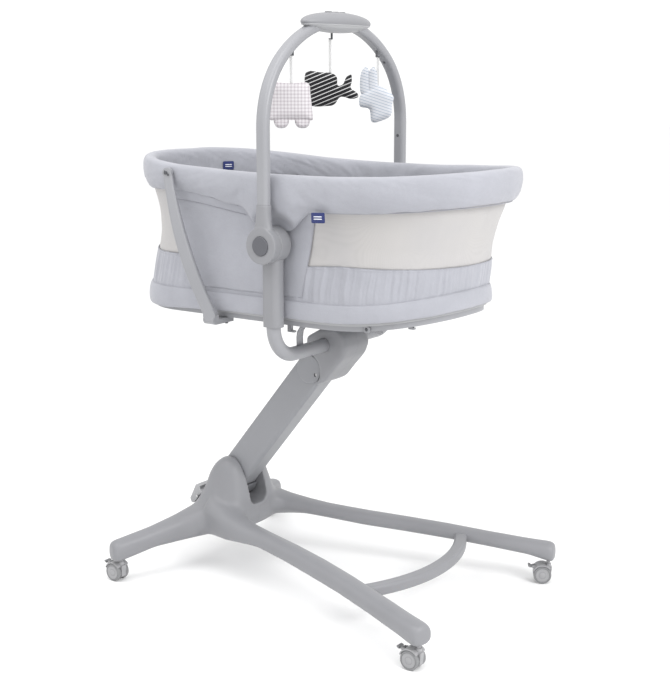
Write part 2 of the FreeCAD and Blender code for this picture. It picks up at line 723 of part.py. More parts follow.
def tray_hooks():
    """Small hooks and lugs along the underside of the tray frame."""
    shapes = []
    for x, drop, toe in ((32, 16, 14), (262, 8, 6), (318, 5, 9)):
        y = -tray_edge_y(x, 13)
        low = tray_underside(x) - 12 - drop
        hook = fuse(box(x - 5, x + 5, y - 4, y + 4, low, low + drop + 20),
                    box(x + 4, x + toe, y - 4, y + 4, low, low + 4))
        shapes.append(hook.cut(above_tray(-12)))
    return Part.makeCompound(shapes + [far(shape) for shape in shapes])


# ---------------------------------------------------------------- play arch

def arch_curve(section):
    """The arch tube: upright legs, side arcs of ARCH_SIDE_R and one larger top arc."""
    half_x, half_y = section[0] / 2, section[1] / 2
    side_y = ARCH_Y - ARCH_SIDE_R
    # The top arc's centre lies drop below the side arcs' centres, where both arcs are tangent.
    spare = ARCH_RISE - ARCH_SIDE_R
    drop = (side_y ** 2 - spare ** 2) / (2 * spare)
    top_r = ARCH_RISE + drop
    lean = atan2(drop, side_y)
    z0 = ARCH_SPRING_Z

    def side_point(angle):
        return V(FORK_X, -side_y - ARCH_SIDE_R * cos(angle), z0 + ARCH_SIDE_R * sin(angle))

    start = V(FORK_X, -ARCH_Y, SOCKET_Z)
    leg_top = V(FORK_X, -ARCH_Y, z0)
    join = side_point(lean)
    upright = Part.LineSegment(start, leg_top).toShape()
    shoulder = Part.Arc(leg_top, side_point(lean / 2), join).toShape()
    top = Part.Arc(join, V(FORK_X, 0, z0 - drop + top_r), V(join.x, -join.y, join.z)).toShape()
    others = [edge.mirror(V(0, 0, 0), V(0, 1, 0)) for edge in (shoulder, upright)]
    path = Part.Wire(Part.__sortEdges__([upright, shoulder, top] + others))
    ring_wire = rounded_rect(half_x, half_y, min(half_x, half_y) * 0.8, start, V(1, 0, 0), V(0, 1, 0))
    return path.makePipeShell([ring_wire], True, True)


def arch_tube():
    return arch_curve(ARCH_SECTION)


def arch_foot():
    """The near foot: a disc with the button's recess, and the socket that holds the arch's leg."""
    face = -284.0
    disc = y_cyl(TILT.x, TILT.z, HOUSING_R, face, -HOUSING_OUT - GAP)
    disc = filleted(disc, 4.0, lambda edge: edge.Length > 200 and edge.BoundBox.YMin < face + 1)
    neck = loft([
        rounded_rect(30, 11, 9, V(FORK_X, -272, TILT.z + 20), V(1, 0, 0), V(0, 1, 0)),
        rounded_rect(18, 12, 10, V(FORK_X, -271, TILT.z + 52), V(1, 0, 0), V(0, 1, 0)),
        rounded_rect(16, 12.5, 10, V(FORK_X, -270, SOCKET_Z), V(1, 0, 0), V(0, 1, 0)),
    ])
    neck = neck.common(box(-100, 100, -300, -HOUSING_OUT - GAP, 0, 2000).fuse(
        box(-100, 100, -300, -250, TILT.z + HOUSING_R + 6, 2000)))
    recess = y_cyl(TILT.x, TILT.z, BUTTON_R + 0.3, face - 5, -270)
    return fuse(disc, neck).cut(recess)


def release_button(side):
    """A domed push button in the foot's recess."""
    body = y_cyl(TILT.x, TILT.z, BUTTON_R, -287, -270 - BUTTON_TRAVEL - 1)
    body = filleted(body, 2.0, lambda edge: abs(edge.BoundBox.YMax + 287) < 0.01)
    return body if side < 0 else far(body)


def console_solid(scale):
    ball = Part.makeSphere(1.0)
    matrix = FreeCAD.Matrix()
    matrix.scale(CONSOLE_HALF[0] * scale, CONSOLE_HALF[1] * scale, CONSOLE_HALF[2] * scale)
    ball = ball.transformGeometry(matrix)
    ball.translate(CONSOLE)
    return ball


CONSOLE_SPLIT = 6.0             # the part line, below the console's centre
CONSOLE_KEYS = (-26.0, 0.0, 26.0)


def console_key(index, extra=0.0):
    """One push key in the top of the console."""
    y = CONSOLE_KEYS[index]
    return cyl(V(CONSOLE.x - 4, y, CONSOLE.z + 15 - extra), V(0, 0, 1), 8 + extra * 0.3, 9 + extra * 2)


def console_half(upper):
    z = CONSOLE.z - CONSOLE_SPLIT
    keep = box(-100, 140, -200, 200, z, z + 100) if upper else box(-100, 140, -200, 200, z - 100, z)
    shell = console_solid(1.0).common(keep).cut(arch_tube())
    if upper:
        shell = cut(shell, *[console_key(index, 2.0) for index in range(len(CONSOLE_KEYS))])
    return max(shell.Solids, key=lambda solid: solid.Volume)


# Hook place (x, y, z of the pin), and the toy's block: centre height, half length, half height
TOYS = {
    "left": ((FORK_X, -170.0, 1262.0), 1157.0, 47.0, 48.0),
    "middle": ((2.0, 0.0, 1300.0), 1192.0, 56.0, 40.0),
    "right": ((FORK_X, 170.0, 1262.0), 1162.0, 42.0, 40.0),
}
TOY_HALF_T = 14.0


def toy_hooks():
    """Three pegs under the arch, each with a short pin along Y for a strap's eye."""
    hooks = []
    for (x, y, z), *_ in TOYS.values():
        toward = 1 if y <= 0 else -1
        pin = y_cyl(x, z, 1.5, y - toward * 4, y + toward * 8)
        stub = cyl(V(x, y + toward * 6.5, z - 1), V(0, 0, 1), 2.5, 40)
        hooks.append(cut(fuse(pin, stub), arch_tube(), console_solid(1.0),
                         box(-100, 100, -300, 300, CONSOLE.z, 1500)))
    return Part.makeCompound([max(hook.Solids, key=lambda solid: solid.BoundBox.ZMax * -1) for hook in hooks])


def toy(name):
    """A flat soft toy on its strap, with the eye that turns on the hook's pin."""
    (x, y, z), mid, half_l, half_h = TOYS[name]
    eye = y_cyl(x, z, 3.6, y - 3, y + 3).cut(y_cyl(x, z, 2.1, y - 4, y + 4))
    strap = box(x - 0.8, x + 0.8, y - 3, y + 3, mid + half_h - 2, z - 2.8)
    body = Part.makeBox(2 * half_l, 2 * TOY_HALF_T, 2 * half_h, V(-half_l, -TOY_HALF_T, -half_h))
    body = body.makeFillet(TOY_HALF_T * 0.8, body.Edges)
    body.rotate(V(0, 0, 0), V(0, 0, 1), TOY_TURN)
    body.translate(V(x, y, mid))
    return fuse(eye, strap, body)


def build():
    nodes = {}
    shell = base_shell()
    nodes["base_shell_far"] = shell
    nodes["base_shell_near"] = far(shell)
    nodes["hub_core"] = hub_core()
    nodes["hub_pins"] = pivot_pins(HUB, SLOT_HALF + 10)
    nodes["cross_bar"] = cross_bar()
    nodes["foot_pedal"] = foot_pedal()
    nodes["pedal_axle"] = pedal_axle()
    for name in CASTER_STEM:
        nodes["caster_fork_" + name] = turned(Part.makeCompound([caster_fork(), brake_pin()]), name)
        nodes["caster_wheels_" + name] = turned(caster_wheels(), name)
        nodes["caster_brake_" + name] = turned(caster_brake(), name)
    nodes["post_shell"] = post_shell()
    nodes["slot_cover"] = fuse(slot_cover(), *cover_ribs())
    nodes["post_caps"] = post_caps()
    nodes["cap_screws"] = cap_screws()
    nodes["link_rod"] = link_rod()
    knuckle = knuckle_shell()
    nodes["knuckle_shell_far"] = knuckle
    nodes["knuckle_shell_near"] = far(knuckle)
    nodes["knuckle_core"] = knuckle_core()
    nodes["knuckle_pins"] = pivot_pins(KNEE, POST_WIDTH / 2)
    nodes["fork_tube"] = fork_tube()
    nodes["fork_sleeves"] = pair(fork_sleeve())
    nodes["tilt_pins"] = pair(tilt_pin())
    nodes["loop_brackets"] = pair(loop_bracket())
    nodes["tray"] = tray()
    nodes["tray_frame"] = tray_frame()
    nodes["tray_hooks"] = tray_hooks()
    nodes["mattress"] = mattress()
    nodes["lower_band"] = wall(600, BAND_TOP)
    nodes["mesh_wall"] = wall(BAND_TOP, 1000)
    panel = side_panel()
    nodes["side_panel_far"] = panel
    nodes["side_panel_near"] = far(panel)
    nodes["side_struts"] = Part.makeCompound(side_struts_solids())
    nodes["rim_frame"] = rim_frame()
    nodes["rim_cover"] = rim_cover()
    nodes["stays"] = stays()
    nodes["stay_fasteners"] = stay_fasteners()
    nodes["arch_feet"] = pair(arch_foot())
    nodes["arch_tube"] = arch_tube()
    nodes["release_button_near"] = release_button(-1)
    nodes["release_button_far"] = release_button(1)
    nodes["console_upper"] = console_half(True)
    nodes["console_lower"] = console_half(False)
    for index in range(len(CONSOLE_KEYS)):
        nodes["console_key_%d" % (index + 1)] = console_key(index)
    nodes["toy_hooks"] = toy_hooks()
    for name in TOYS:
        nodes["toy_" + name] = toy(name)
    return nodes


def write():
    os.makedirs("parts", exist_ok=True)
    whole = None
    for name, shape in build().items():
        if not shape.isValid() or not shape.Solids:
            print("CHECK", name, "valid", shape.isValid(), "solids", len(shape.Solids))
        shape.exportStep("parts/%s.step" % name)
        bounds = shape.BoundBox
        whole = bounds if whole is None else whole.united(bounds)
        print("%-26s solids %d volume %.1f cm3" % (name, len(shape.Solids), shape.Volume / 1000))
    print("bounds x %.1f %.1f y %.1f %.1f z %.1f %.1f" % (
        whole.XMin, whole.XMax, whole.YMin, whole.YMax, whole.ZMin, whole.ZMax))


write()
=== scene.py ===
"""Visual model of the bassinet on its rolling stand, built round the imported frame. Metres, +Z up."""
import bpy
import bmesh
from math import cos, exp, hypot, pi, radians, sin, sqrt
from mathutils import Matrix, Vector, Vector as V
from mathutils import noise


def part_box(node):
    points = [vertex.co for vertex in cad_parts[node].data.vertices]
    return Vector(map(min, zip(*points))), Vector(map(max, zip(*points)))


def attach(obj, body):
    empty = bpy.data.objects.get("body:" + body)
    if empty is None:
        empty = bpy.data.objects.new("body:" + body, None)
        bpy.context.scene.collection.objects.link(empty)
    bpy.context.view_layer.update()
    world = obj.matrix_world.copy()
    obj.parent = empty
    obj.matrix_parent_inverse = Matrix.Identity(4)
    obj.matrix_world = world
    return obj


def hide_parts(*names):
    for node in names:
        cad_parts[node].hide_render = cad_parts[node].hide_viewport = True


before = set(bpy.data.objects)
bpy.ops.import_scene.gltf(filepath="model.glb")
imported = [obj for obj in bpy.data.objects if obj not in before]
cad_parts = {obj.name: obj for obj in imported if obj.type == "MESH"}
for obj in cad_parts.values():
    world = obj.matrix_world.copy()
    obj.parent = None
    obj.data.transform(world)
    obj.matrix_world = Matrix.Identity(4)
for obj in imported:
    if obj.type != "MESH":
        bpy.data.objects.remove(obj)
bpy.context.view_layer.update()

ALONG, ACROSS, UP = V((1, 0, 0)), V((0, 1, 0)), V((0, 0, 1))

# Layout, from the design
HUB = V((-0.298, 0, 0.212))
KNEE = V((-0.034, 0, 0.535))
TILT = V((0.020, 0, 0.858))
# A plan outline is (head x, foot x, half width, corner radius at the head, corner radius at the foot)
RIM_PLAN = (-0.465, 0.465, 0.250, 0.200, 0.240)
RIM_TOP, RIM_LOW_X, RIM_TOP_R = 1.010, 0.080, 5.0
COVER_LOW, COVER_LOW_R, FLAP_DROP = 0.930, 4.9, 0.043
TRAY_Z, TRAY_T, TRAY_RISE_X, TRAY_RISE_R = 0.686, 0.014, 0.100, 1.300
BAND_TOP = 0.811
SLOT_HALF = 0.0335
TOY_TURN = radians(35)          # the toys face this way about Z
FORK_Y = 0.2215                 # how far out the cloth may go beside the fork's pivot housings


# ---- materials

def material(name, base, rough=0.5, metallic=0.0, spec=0.5, sheen=0.0):
    mat = bpy.data.materials.new(name)
    mat.use_nodes = True
    shader = mat.node_tree.nodes["Principled BSDF"]
    values = {"Base Color": (*base, 1), "Roughness": rough, "Metallic": metallic,
              "Specular IOR Level": spec, "Sheen Weight": sheen}
    for key, value in values.items():
        shader.inputs[key].default_value = value
    return mat, mat.node_tree, shader


def node(tree, kind, **values):
    made = tree.nodes.new(kind)
    for key, value in values.items():
        if key in made.inputs:
            made.inputs[key].default_value = value
        else:
            setattr(made, key, value)
    return made


def coords(tree, scale=(1, 1, 1), rotation=(0, 0, 0)):
    """Object coordinates in metres, scaled."""
    source = node(tree, "ShaderNodeTexCoord")
    mapping = node(tree, "ShaderNodeMapping", Scale=scale, Rotation=rotation)
    tree.links.new(source.outputs["Object"], mapping.inputs["Vector"])
    return mapping.outputs["Vector"]


def texture(tree, kind, at, **values):
    """A texture node that reads its place from at."""
    made = node(tree, "ShaderNodeTex" + kind, **values)
    tree.links.new(at, made.inputs["Vector"])
    return made


def combine(tree, operation, first, second=0.0):
    """The output of a Math node; second is a socket or a number."""
    made = node(tree, "ShaderNodeMath", operation=operation)
    tree.links.new(first, made.inputs[0])
    if isinstance(second, float):
        made.inputs[1].default_value = second
    else:
        tree.links.new(second, made.inputs[1])
    return made.outputs[0]


def ramp(tree, factor, stops):
    """A colour that runs between two (position, colour) stops."""
    made = node(tree, "ShaderNodeValToRGB")
    for element, (position, colour) in zip(made.color_ramp.elements, stops):
        element.position = position
        element.color = colour
    tree.links.new(factor, made.inputs["Fac"])
    return made.outputs["Color"]


def shade(base, factor):
    return tuple(min(1.0, part * factor) for part in base) + (1,)


def mottle(tree, shader, factor, base, spread, variation):
    """Base colour, darker and lighter by variation as factor runs over 0.5 -+ spread."""
    stops = [(0.5 - spread, shade(base, 1 - variation)), (0.5 + spread, shade(base, 1 + variation))]
    tree.links.new(ramp(tree, factor, stops), shader.inputs["Base Color"])


def bump(tree, shader, height, strength, distance=0.0003):
    made = node(tree, "ShaderNodeBump", Strength=strength, Distance=distance)
    tree.links.new(height, made.inputs["Height"])
    tree.links.new(made.outputs["Normal"], shader.inputs["Normal"])
    return made


def moulded(name, base, rough=0.42, strength=0.10):
    """Moulded plastic: a fine spark-eroded texture and a faint uneven gloss."""
    mat, tree, shader = material(name, base, rough, spec=0.45)
    at = coords(tree)
    cloud = texture(tree, "Noise", at, Scale=9.0, Detail=3.0)
    fine = texture(tree, "Noise", at, Scale=900.0, Detail=2.0)
    mottle(tree, shader, cloud.outputs["Fac"], base, 0.2, 0.04)
    gloss = node(tree, "ShaderNodeMapRange", **{"To Min": rough - 0.06, "To Max": rough + 0.08})
    tree.links.new(cloud.outputs["Fac"], gloss.inputs["Value"])
    tree.links.new(gloss.outputs["Result"], shader.inputs["Roughness"])
    bump(tree, shader, fine.outputs["Fac"], strength)
    return mat


def powder(name, base):
    """Powder-coated steel: a slight orange peel."""
    mat, tree, shader = material(name, base, 0.38)
    at = coords(tree)
    peel = texture(tree, "Noise", at, Scale=420.0, Detail=1.0)
    cloud = texture(tree, "Noise", at, Scale=6.0, Detail=2.0)
    mottle(tree, shader, cloud.outputs["Fac"], base, 0.2, 0.03)
    bump(tree, shader, peel.outputs["Fac"], 0.12)
    return mat


def metal(name, base):
    """Plated steel with a fine brushed grain."""
    mat, tree, shader = material(name, base, 0.3, metallic=1.0)
    brushed = texture(tree, "Noise", coords(tree, (60, 900, 60)), Scale=3.0, Detail=2.0)
    bump(tree, shader, brushed.outputs["Fac"], 0.08, 0.0002)
    return mat


def woven(name, base, strength=0.35, crease=0.5):
    """Plain weave: fine crossed threads, soft mottling and small creases."""
    mat, tree, shader = material(name, base, 0.85, spec=0.25, sheen=0.25)
    shader.inputs["Sheen Roughness"].default_value = 0.5
    at = coords(tree)
    waves = [texture(tree, "Wave", at, Scale=250.0, bands_direction=axis).outputs["Fac"] for axis in "XYZ"]
    weave = combine(tree, "MULTIPLY", combine(tree, "MAXIMUM", waves[0], waves[1]), waves[2])
    cloud = texture(tree, "Noise", at, Scale=14.0, Detail=4.0, Roughness=0.6)
    crinkle = texture(tree, "Noise", at, Scale=45.0, Detail=3.0, Distortion=0.6)
    heather = texture(tree, "Noise", at, Scale=700.0, Detail=2.0)
    tone = node(tree, "ShaderNodeMix", data_type="FLOAT", Factor=0.45)
    tree.links.new(cloud.outputs["Fac"], tone.inputs["A"])
    tree.links.new(heather.outputs["Fac"], tone.inputs["B"])
    mottle(tree, shader, tone.outputs["Result"], base, 0.15, 0.06)
    soft = node(tree, "ShaderNodeBump", Strength=crease, Distance=0.0022)
    tree.links.new(crinkle.outputs["Fac"], soft.inputs["Height"])
    fine = bump(tree, shader, weave, strength)
    tree.links.new(soft.outputs["Normal"], fine.inputs["Normal"])
    return mat


def netting(name, base):
    """Knitted mesh: rows of tiny holes, each painted a little darker than the yarn round it as painted shade
    seen through the hole.
    """
    mat, tree, shader = material(name, base, 0.8, spec=0.2, sheen=0.15)
    per_metre = 1 / 0.0016
    cell = texture(tree, "Voronoi", coords(tree, (per_metre,) * 3), Scale=1.0, Randomness=0.15)
    cloud = texture(tree, "Noise", coords(tree), Scale=7.0, Detail=2.0)
    # Painted shade: each hole's middle is painted darker than the yarn, for the shade seen through it.
    yarn_and_hole_shade = ramp(tree, cell.outputs["Distance"], [(0.12, shade(base, 0.86)), (0.38, shade(base, 1.0))])
    pale, warm = shade((1, 1, 1), 0.965), (1, 0.995, 0.98, 1)
    tint = ramp(tree, cloud.outputs["Fac"], [(0.35, pale), (0.65, warm)])
    mixed = node(tree, "ShaderNodeMix", data_type="RGBA", blend_type="MULTIPLY")
    mixed.inputs["Factor"].default_value = 1.0
    tree.links.new(yarn_and_hole_shade, mixed.inputs["A"])
    tree.links.new(tint, mixed.inputs["B"])
    tree.links.new(mixed.outputs["Result"], shader.inputs["Base Color"])
    bump(tree, shader, cell.outputs["Distance"], 0.5, 0.0004)
    return mat


def printed(name, ground, ink, kind, size, rotation=0.0):
    """Cotton with a printed pattern: "stripe" or "check", size metres apart."""
    mat, tree, shader = material(name, ground, 0.85, spec=0.2, sheen=0.2)
    at = coords(tree, rotation=(0, 0, -TOY_TURN))
    turn = node(tree, "ShaderNodeMapping", Rotation=(0, rotation, 0), Scale=(1 / size, 1 / size, 1 / size))
    tree.links.new(at, turn.inputs["Vector"])
    split = node(tree, "ShaderNodeSeparateXYZ")
    tree.links.new(turn.outputs["Vector"], split.inputs["Vector"])
    share = 0.20 if kind == "stripe" else 0.42
    marks = [combine(tree, "LESS_THAN", combine(tree, "FRACT", split.outputs[axis]), share)
             for axis in ("Z" if kind == "stripe" else "XZ")]
    mark = marks[0]
    if kind == "check":
        mark = combine(tree, "MULTIPLY", combine(tree, "ADD", *marks), 0.5)
    colour = node(tree, "ShaderNodeMix", data_type="RGBA")
    colour.inputs["A"].default_value = (*ground, 1)
    colour.inputs["B"].default_value = (*ink, 1)
    tree.links.new(mark, colour.inputs["Factor"])
    tree.links.new(colour.outputs["Result"], shader.inputs["Base Color"])
    nap = texture(tree, "Noise", coords(tree), Scale=260.0, Detail=3.0)
    bump(tree, shader, nap.outputs["Fac"], 0.35, 0.0006)
    return mat


SHELL = moulded("shell_plastic", (0.236, 0.238, 0.252))
POST = powder("post_coat", (0.250, 0.254, 0.270))
TUBE = powder("tube_coat", (0.276, 0.279, 0.296))
PALE = moulded("pale_plastic", (0.40, 0.404, 0.415), rough=0.4)
DARK = moulded("dark_plastic", (0.075, 0.078, 0.085), rough=0.5)
BUTTON = moulded("button_plastic", (0.096, 0.098, 0.110), rough=0.45)
INSERT = moulded("insert_plastic", (0.135, 0.138, 0.148), rough=0.5)
TREAD = moulded("wheel_tread", (0.22, 0.222, 0.228), rough=0.62, strength=0.2)
WHEEL_HUB = moulded("wheel_disc", (0.32, 0.32, 0.33), rough=0.4)
STEEL = metal("zinc_steel", (0.50, 0.50, 0.50))
FABRIC = woven("grey_cotton", (0.345, 0.350, 0.385))
FABRIC_TRIM = woven("grey_piping", (0.30, 0.303, 0.335), crease=0.1)
LINING = woven("inner_cotton", (0.31, 0.312, 0.335))
NET = netting("cream_net", (0.45, 0.440, 0.440))
SHEET = woven("white_cotton", (0.60, 0.60, 0.60), crease=0.7)
TAG = woven("navy_tag", (0.025, 0.035, 0.13), crease=0.0, strength=0.3)
TAG_MARK = woven("tag_stitch", (0.75, 0.77, 0.82), crease=0.0)
WEBBING = woven("white_webbing", (0.62, 0.62, 0.62), crease=0.0, strength=0.5)
CHECK = printed("check_cotton", (0.62, 0.60, 0.615), (0.42, 0.385, 0.41), "check", 0.0075)
STRIPE_DARK = printed("black_stripe_cotton", (0.012, 0.012, 0.014), (0.60, 0.60, 0.60), "stripe", 0.0085,
                      radians(22))
STRIPE_PALE = printed("blue_stripe_cotton", (0.60, 0.615, 0.65), (0.31, 0.37, 0.45), "stripe", 0.0066,
                      radians(-18))


# ---- mesh helpers

def link(obj):
    bpy.context.scene.collection.objects.link(obj)
    return obj


def face_out(mesh, merge=0.0):
    """Turn every face outward, with points nearer than merge made one."""
    bm = bmesh.new()
    bm.from_mesh(mesh)
    if merge:
        bmesh.ops.remove_doubles(bm, verts=bm.verts, dist=merge)
    bmesh.ops.recalc_face_normals(bm, faces=bm.faces)
    bm.to_mesh(mesh)
    bm.free()


def turns(count):
    return [2 * pi * k / count for k in range(count)]


def make(name, verts, faces, mat, smooth=True):
    mesh = bpy.data.meshes.new(name)
    mesh.from_pydata([tuple(v) for v in verts], [], faces)
    mesh.validate()
    face_out(mesh)
    mesh.polygons.foreach_set("use_smooth", [smooth] * len(mesh.polygons))
    if mat:
        mesh.materials.append(mat)
    return link(bpy.data.objects.new(name, mesh))


def quads(rows, columns, height, width):
    """Faces over the first rows and columns of a net of height by width points, which may wrap round."""
    faces = []
    for i in range(rows):
        j = (i + 1) % height
        for k in range(columns):
            n = (k + 1) % width
            faces.append((i * width + k, i * width + n, j * width + n, j * width + k))
    return faces


def loft(name, rings, mat, closed=False):
    """A skin through rings of equal count, capped at both ends unless closed."""
    count = len(rings[0])
    last = len(rings) - 1
    faces = quads(last + closed, count, len(rings), count)
    if not closed:
        faces += [tuple(reversed(range(count))), tuple(last * count + k for k in range(count))]
    return make(name, [p for ring in rings for p in ring], faces, mat)


def super_ring(centre, across, up, half_a, half_b, power, count):
    """A rounded rectangle of count points; power 2 is an ellipse, and more is squarer."""
    points = []
    for a in turns(count):
        c, s = cos(a), sin(a)
        reach = (abs(c) ** power + abs(s) ** power) ** (-1 / power)
        points.append(centre + across * (half_a * c * reach) + up * (half_b * s * reach))
    return points


def extrude(name, outline, y0, y1):
    """An XZ outline of (x, z) pairs, extruded along Y."""
    return loft(name, [[V((x, y, z)) for x, z in outline] for y in (y0, y1)], None)


def disc(name, x, z, radius, y0, y1):
    return extrude(name, [(x + radius * cos(a), z + radius * sin(a)) for a in turns(64)], y0, y1)


def block(name, x0, x1, y0, y1, z0, z1):
    return extrude(name, [(x0, z0), (x1, z0), (x1, z1), (x0, z1)], y0, y1)


def final_mesh(obj):
    """A new mesh of obj as its modifiers or its curve make it."""
    graph = bpy.context.evaluated_depsgraph_get()
    graph.update()
    return bpy.data.meshes.new_from_object(obj.evaluated_get(graph))


def baked(obj):
    """Apply every modifier of obj."""
    mesh = final_mesh(obj)
    old = obj.data
    obj.modifiers.clear()
    obj.data = mesh
    bpy.data.meshes.remove(old)
    return obj


def join(name, *objs):
    """All of objs in one mesh."""
    bm = bmesh.new()
    for obj in objs:
        copy = obj.data.copy()
        copy.transform(obj.matrix_basis)
        bm.from_mesh(copy)
        bpy.data.meshes.remove(copy)
    mesh = bpy.data.meshes.new(name)
    bm.to_mesh(mesh)
    bm.free()
    for slot_mat in objs[0].data.materials:
        mesh.materials.append(slot_mat)
    for obj in objs:
        drop(obj)
    return link(bpy.data.objects.new(name, mesh))


def drop(obj):
    mesh = obj.data
    bpy.data.objects.remove(obj)
    if mesh.users == 0:
        bpy.data.meshes.remove(mesh)


def melt(obj, voxel, rounds):
    """Merge overlapping solids into one skin and soften its creases."""
    step = obj.modifiers.new("melt", "REMESH")
    step.mode = "VOXEL"
    step.voxel_size = voxel
    step.use_smooth_shade = True
    return soften(obj, rounds)


def soften(obj, rounds):
    obj.modifiers.new("soften", "SMOOTH").iterations = rounds
    return baked(obj)


def carve(obj, *tools):
    """Cut tools out of obj."""
    for tool in tools:
        step = obj.modifiers.new("cut", "BOOLEAN")
        step.operation = "DIFFERENCE"
        step.solver = "EXACT"
        step.object = tool
        baked(obj)
        drop(tool)
    return obj


def paint(obj, mat):
    obj.data.materials.clear()
    obj.data.materials.append(mat)
    return obj


def smooth_shade(obj):
    obj.data.polygons.foreach_set("use_smooth", [True] * len(obj.data.polygons))
    return obj


def mirrored(obj, name):
    """A copy of obj on the other side of the XZ plane."""
    copy = link(bpy.data.objects.new(name, obj.data.copy()))
    copy.data.transform(Matrix.Diagonal((1, -1, 1, 1)))
    copy.data.flip_normals()
    return copy


def add(obj, body, stands_for=()):
    """Put obj on its body and hide the CAD nodes it stands for."""
    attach(obj, body)
    if stands_for:
        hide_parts(*stands_for)
    return obj


def tube(name, points, radius, mat):
    """A round tube along the line through points."""
    curve = bpy.data.curves.new(name, "CURVE")
    curve.dimensions = "3D"
    curve.bevel_depth = radius
    curve.bevel_resolution = 3
    curve.use_fill_caps = True
    spline = curve.splines.new("POLY")
    spline.points.add(len(points) - 1)
    for point, place in zip(spline.points, points):
        point.co = (*place, 1)
    temp = link(bpy.data.objects.new(name, curve))
    mesh = final_mesh(temp)
    bpy.data.objects.remove(temp)
    return smooth_shade(paint(link(bpy.data.objects.new(name, mesh)), mat))


# ---- base

CUT_TOP = 0.40                  # well above the hub
SPLIT_GAP = 0.0002
PEDAL_HALF = 0.0665
# x, inner y, outer y, top, inner underside, outer underside
LONG_LEG = [
    (-0.290, 0.006, 0.118, 0.190, 0.114, 0.080),
    (-0.250, 0.036, 0.130, 0.170, 0.118, 0.081),
    (-0.210, 0.074, 0.142, 0.155, 0.120, 0.086),
    (-0.160, 0.092, 0.151, 0.147, 0.116, 0.095),
    (-0.100, 0.106, 0.158, 0.142, 0.110, 0.102),
    (0.000, 0.129, 0.181, 0.137, 0.104, 0.095),
    (0.100, 0.158, 0.210, 0.132, 0.101, 0.087),
    (0.200, 0.190, 0.242, 0.125, 0.094, 0.081),
    (0.300, 0.223, 0.275, 0.115, 0.085, 0.071),
    (0.400, 0.258, 0.310, 0.106, 0.073, 0.059),
    (0.448, 0.275, 0.327, 0.104, 0.058, 0.052),
    (0.460, 0.281, 0.325, 0.100, 0.055, 0.053),
]
LEG_SLOPE = 0.30
# x, y, top, underside, width
SHORT_LEG = [
    (-0.316, 0.050, 0.170, 0.082, 0.098),
    (-0.340, 0.110, 0.153, 0.078, 0.078),
    (-0.360, 0.156, 0.138, 0.074, 0.060),
    (-0.386, 0.220, 0.121, 0.070, 0.051),
    (-0.414, 0.294, 0.108, 0.054, 0.049),
    (-0.422, 0.317, 0.105, 0.051, 0.047),
    (-0.425, 0.325, 0.100, 0.054, 0.038),
]
# z, x from, x to, half width
HUB_LEVELS = [
    (0.088, -0.380, -0.246, 0.116),
    (0.104, -0.394, -0.228, 0.127),
    (0.128, -0.390, -0.220, 0.124),
    (0.150, -0.376, -0.219, 0.110),
    (0.175, -0.362, -0.219, 0.094),
    (0.205, -0.350, -0.226, 0.082),
    (0.235, -0.340, -0.236, 0.075),
    (0.258, -0.324, -0.248, 0.070),
    (0.272, -0.308, -0.260, 0.061),
    (0.278, -0.294, -0.270, 0.050),
]


def long_leg():
    rings = []
    for x, inner, outer, top, under_in, under_out in LONG_LEG:
        points = []
        for corner in super_ring(V((0, 0, 0)), ALONG, ACROSS, 1, 1, power=3.6, count=40):
            across, up = (corner.x + 1) / 2, (corner.y + 1) / 2
            y = inner + (outer - inner) * across
            under = under_in + (under_out - under_in) * across
            crown = 0.004 * corner.x ** 2
            z = under + (top - crown - under) * up
            points.append(V((x - (y - (inner + outer) / 2) * LEG_SLOPE, y, z)))
        rings.append(points)
    return loft("long_leg", rings, None)


def short_leg():
    first, last = SHORT_LEG[0], SHORT_LEG[-1]
    run = V((last[0] - first[0], last[1] - first[1], 0)).normalized()
    across = V((-run.y, run.x, 0))
    rings = []
    for x, y, top, under, width in SHORT_LEG:
        centre = V((x, y, (top + under) / 2))
        rings.append(super_ring(centre, across, UP, width / 2, (top - under) / 2, power=3.2, count=40))
    return loft("short_leg", rings, None)


def hub_body():
    rings = []
    for z, x0, x1, half_y in HUB_LEVELS:
        centre = V(((x0 + x1) / 2, 0, z))
        rings.append(super_ring(centre, ALONG, ACROSS, (x1 - x0) / 2, half_y, power=3.4, count=56))
    return loft("hub_body", rings, None)


def slot_front(x0, x1, low, level):
    """The U-shaped room ahead of the hub pivot: a round floor at low and straight sides above level."""
    power = 2 / 3
    outline = [(-SLOT_HALF, CUT_TOP)]
    for k in range(25):
        a = k * pi / 24
        y = SLOT_HALF * abs(cos(a)) ** power * (-1 if cos(a) > 0 else 1)
        outline.append((y, level - (level - low) * sin(a) ** power))
    outline.append((SLOT_HALF, CUT_TOP))
    return loft("slot_front", [[V((x, y, z)) for y, z in outline] for x in (x0, x1)], None)


def halves(whole, skin, shell, body, away_x, away_y, away_z):
    """Split a skin down the middle into the far and the near half, each standing for a CAD shell."""
    for label, side in (("far", 1), ("near", -1)):
        half = link(bpy.data.objects.new(skin + label + "_skin", whole.data.copy()))
        carve(half, block("away", *away_x, -away_y * side, SPLIT_GAP * side, *away_z))
        paint(smooth_shade(half), SHELL)
        add(half, body, [shell + label])
    drop(whole)


def base_shells():
    """The whole moulded base, softened as one skin, then split down the middle."""
    legs = [long_leg(), short_leg()]
    others = [mirrored(leg, leg.name + "_near") for leg in legs]
    whole = melt(join("base_shell", hub_body(), *legs, *others), voxel=0.0035, rounds=56)
    swing = disc("swing", HUB.x, HUB.z, 0.0535, -SLOT_HALF, SLOT_HALF)
    ahead = slot_front(HUB.x, 0.0, low=0.156, level=0.190)
    above = block("above", -0.42, 0.0, -SLOT_HALF, SLOT_HALF, 0.226, CUT_TOP)
    pedal = block("pedal_room", -0.44, -0.350, -PEDAL_HALF, PEDAL_HALF, 0.127, 0.206)
    whole = melt(carve(whole, swing, ahead, above, pedal), voxel=0.0026, rounds=5)
    halves(whole, "base_shell_", "base_shell_", "base", (-0.6, 0.6), 0.4, (-0.1, 0.5))


base_shells()


# ---- casters

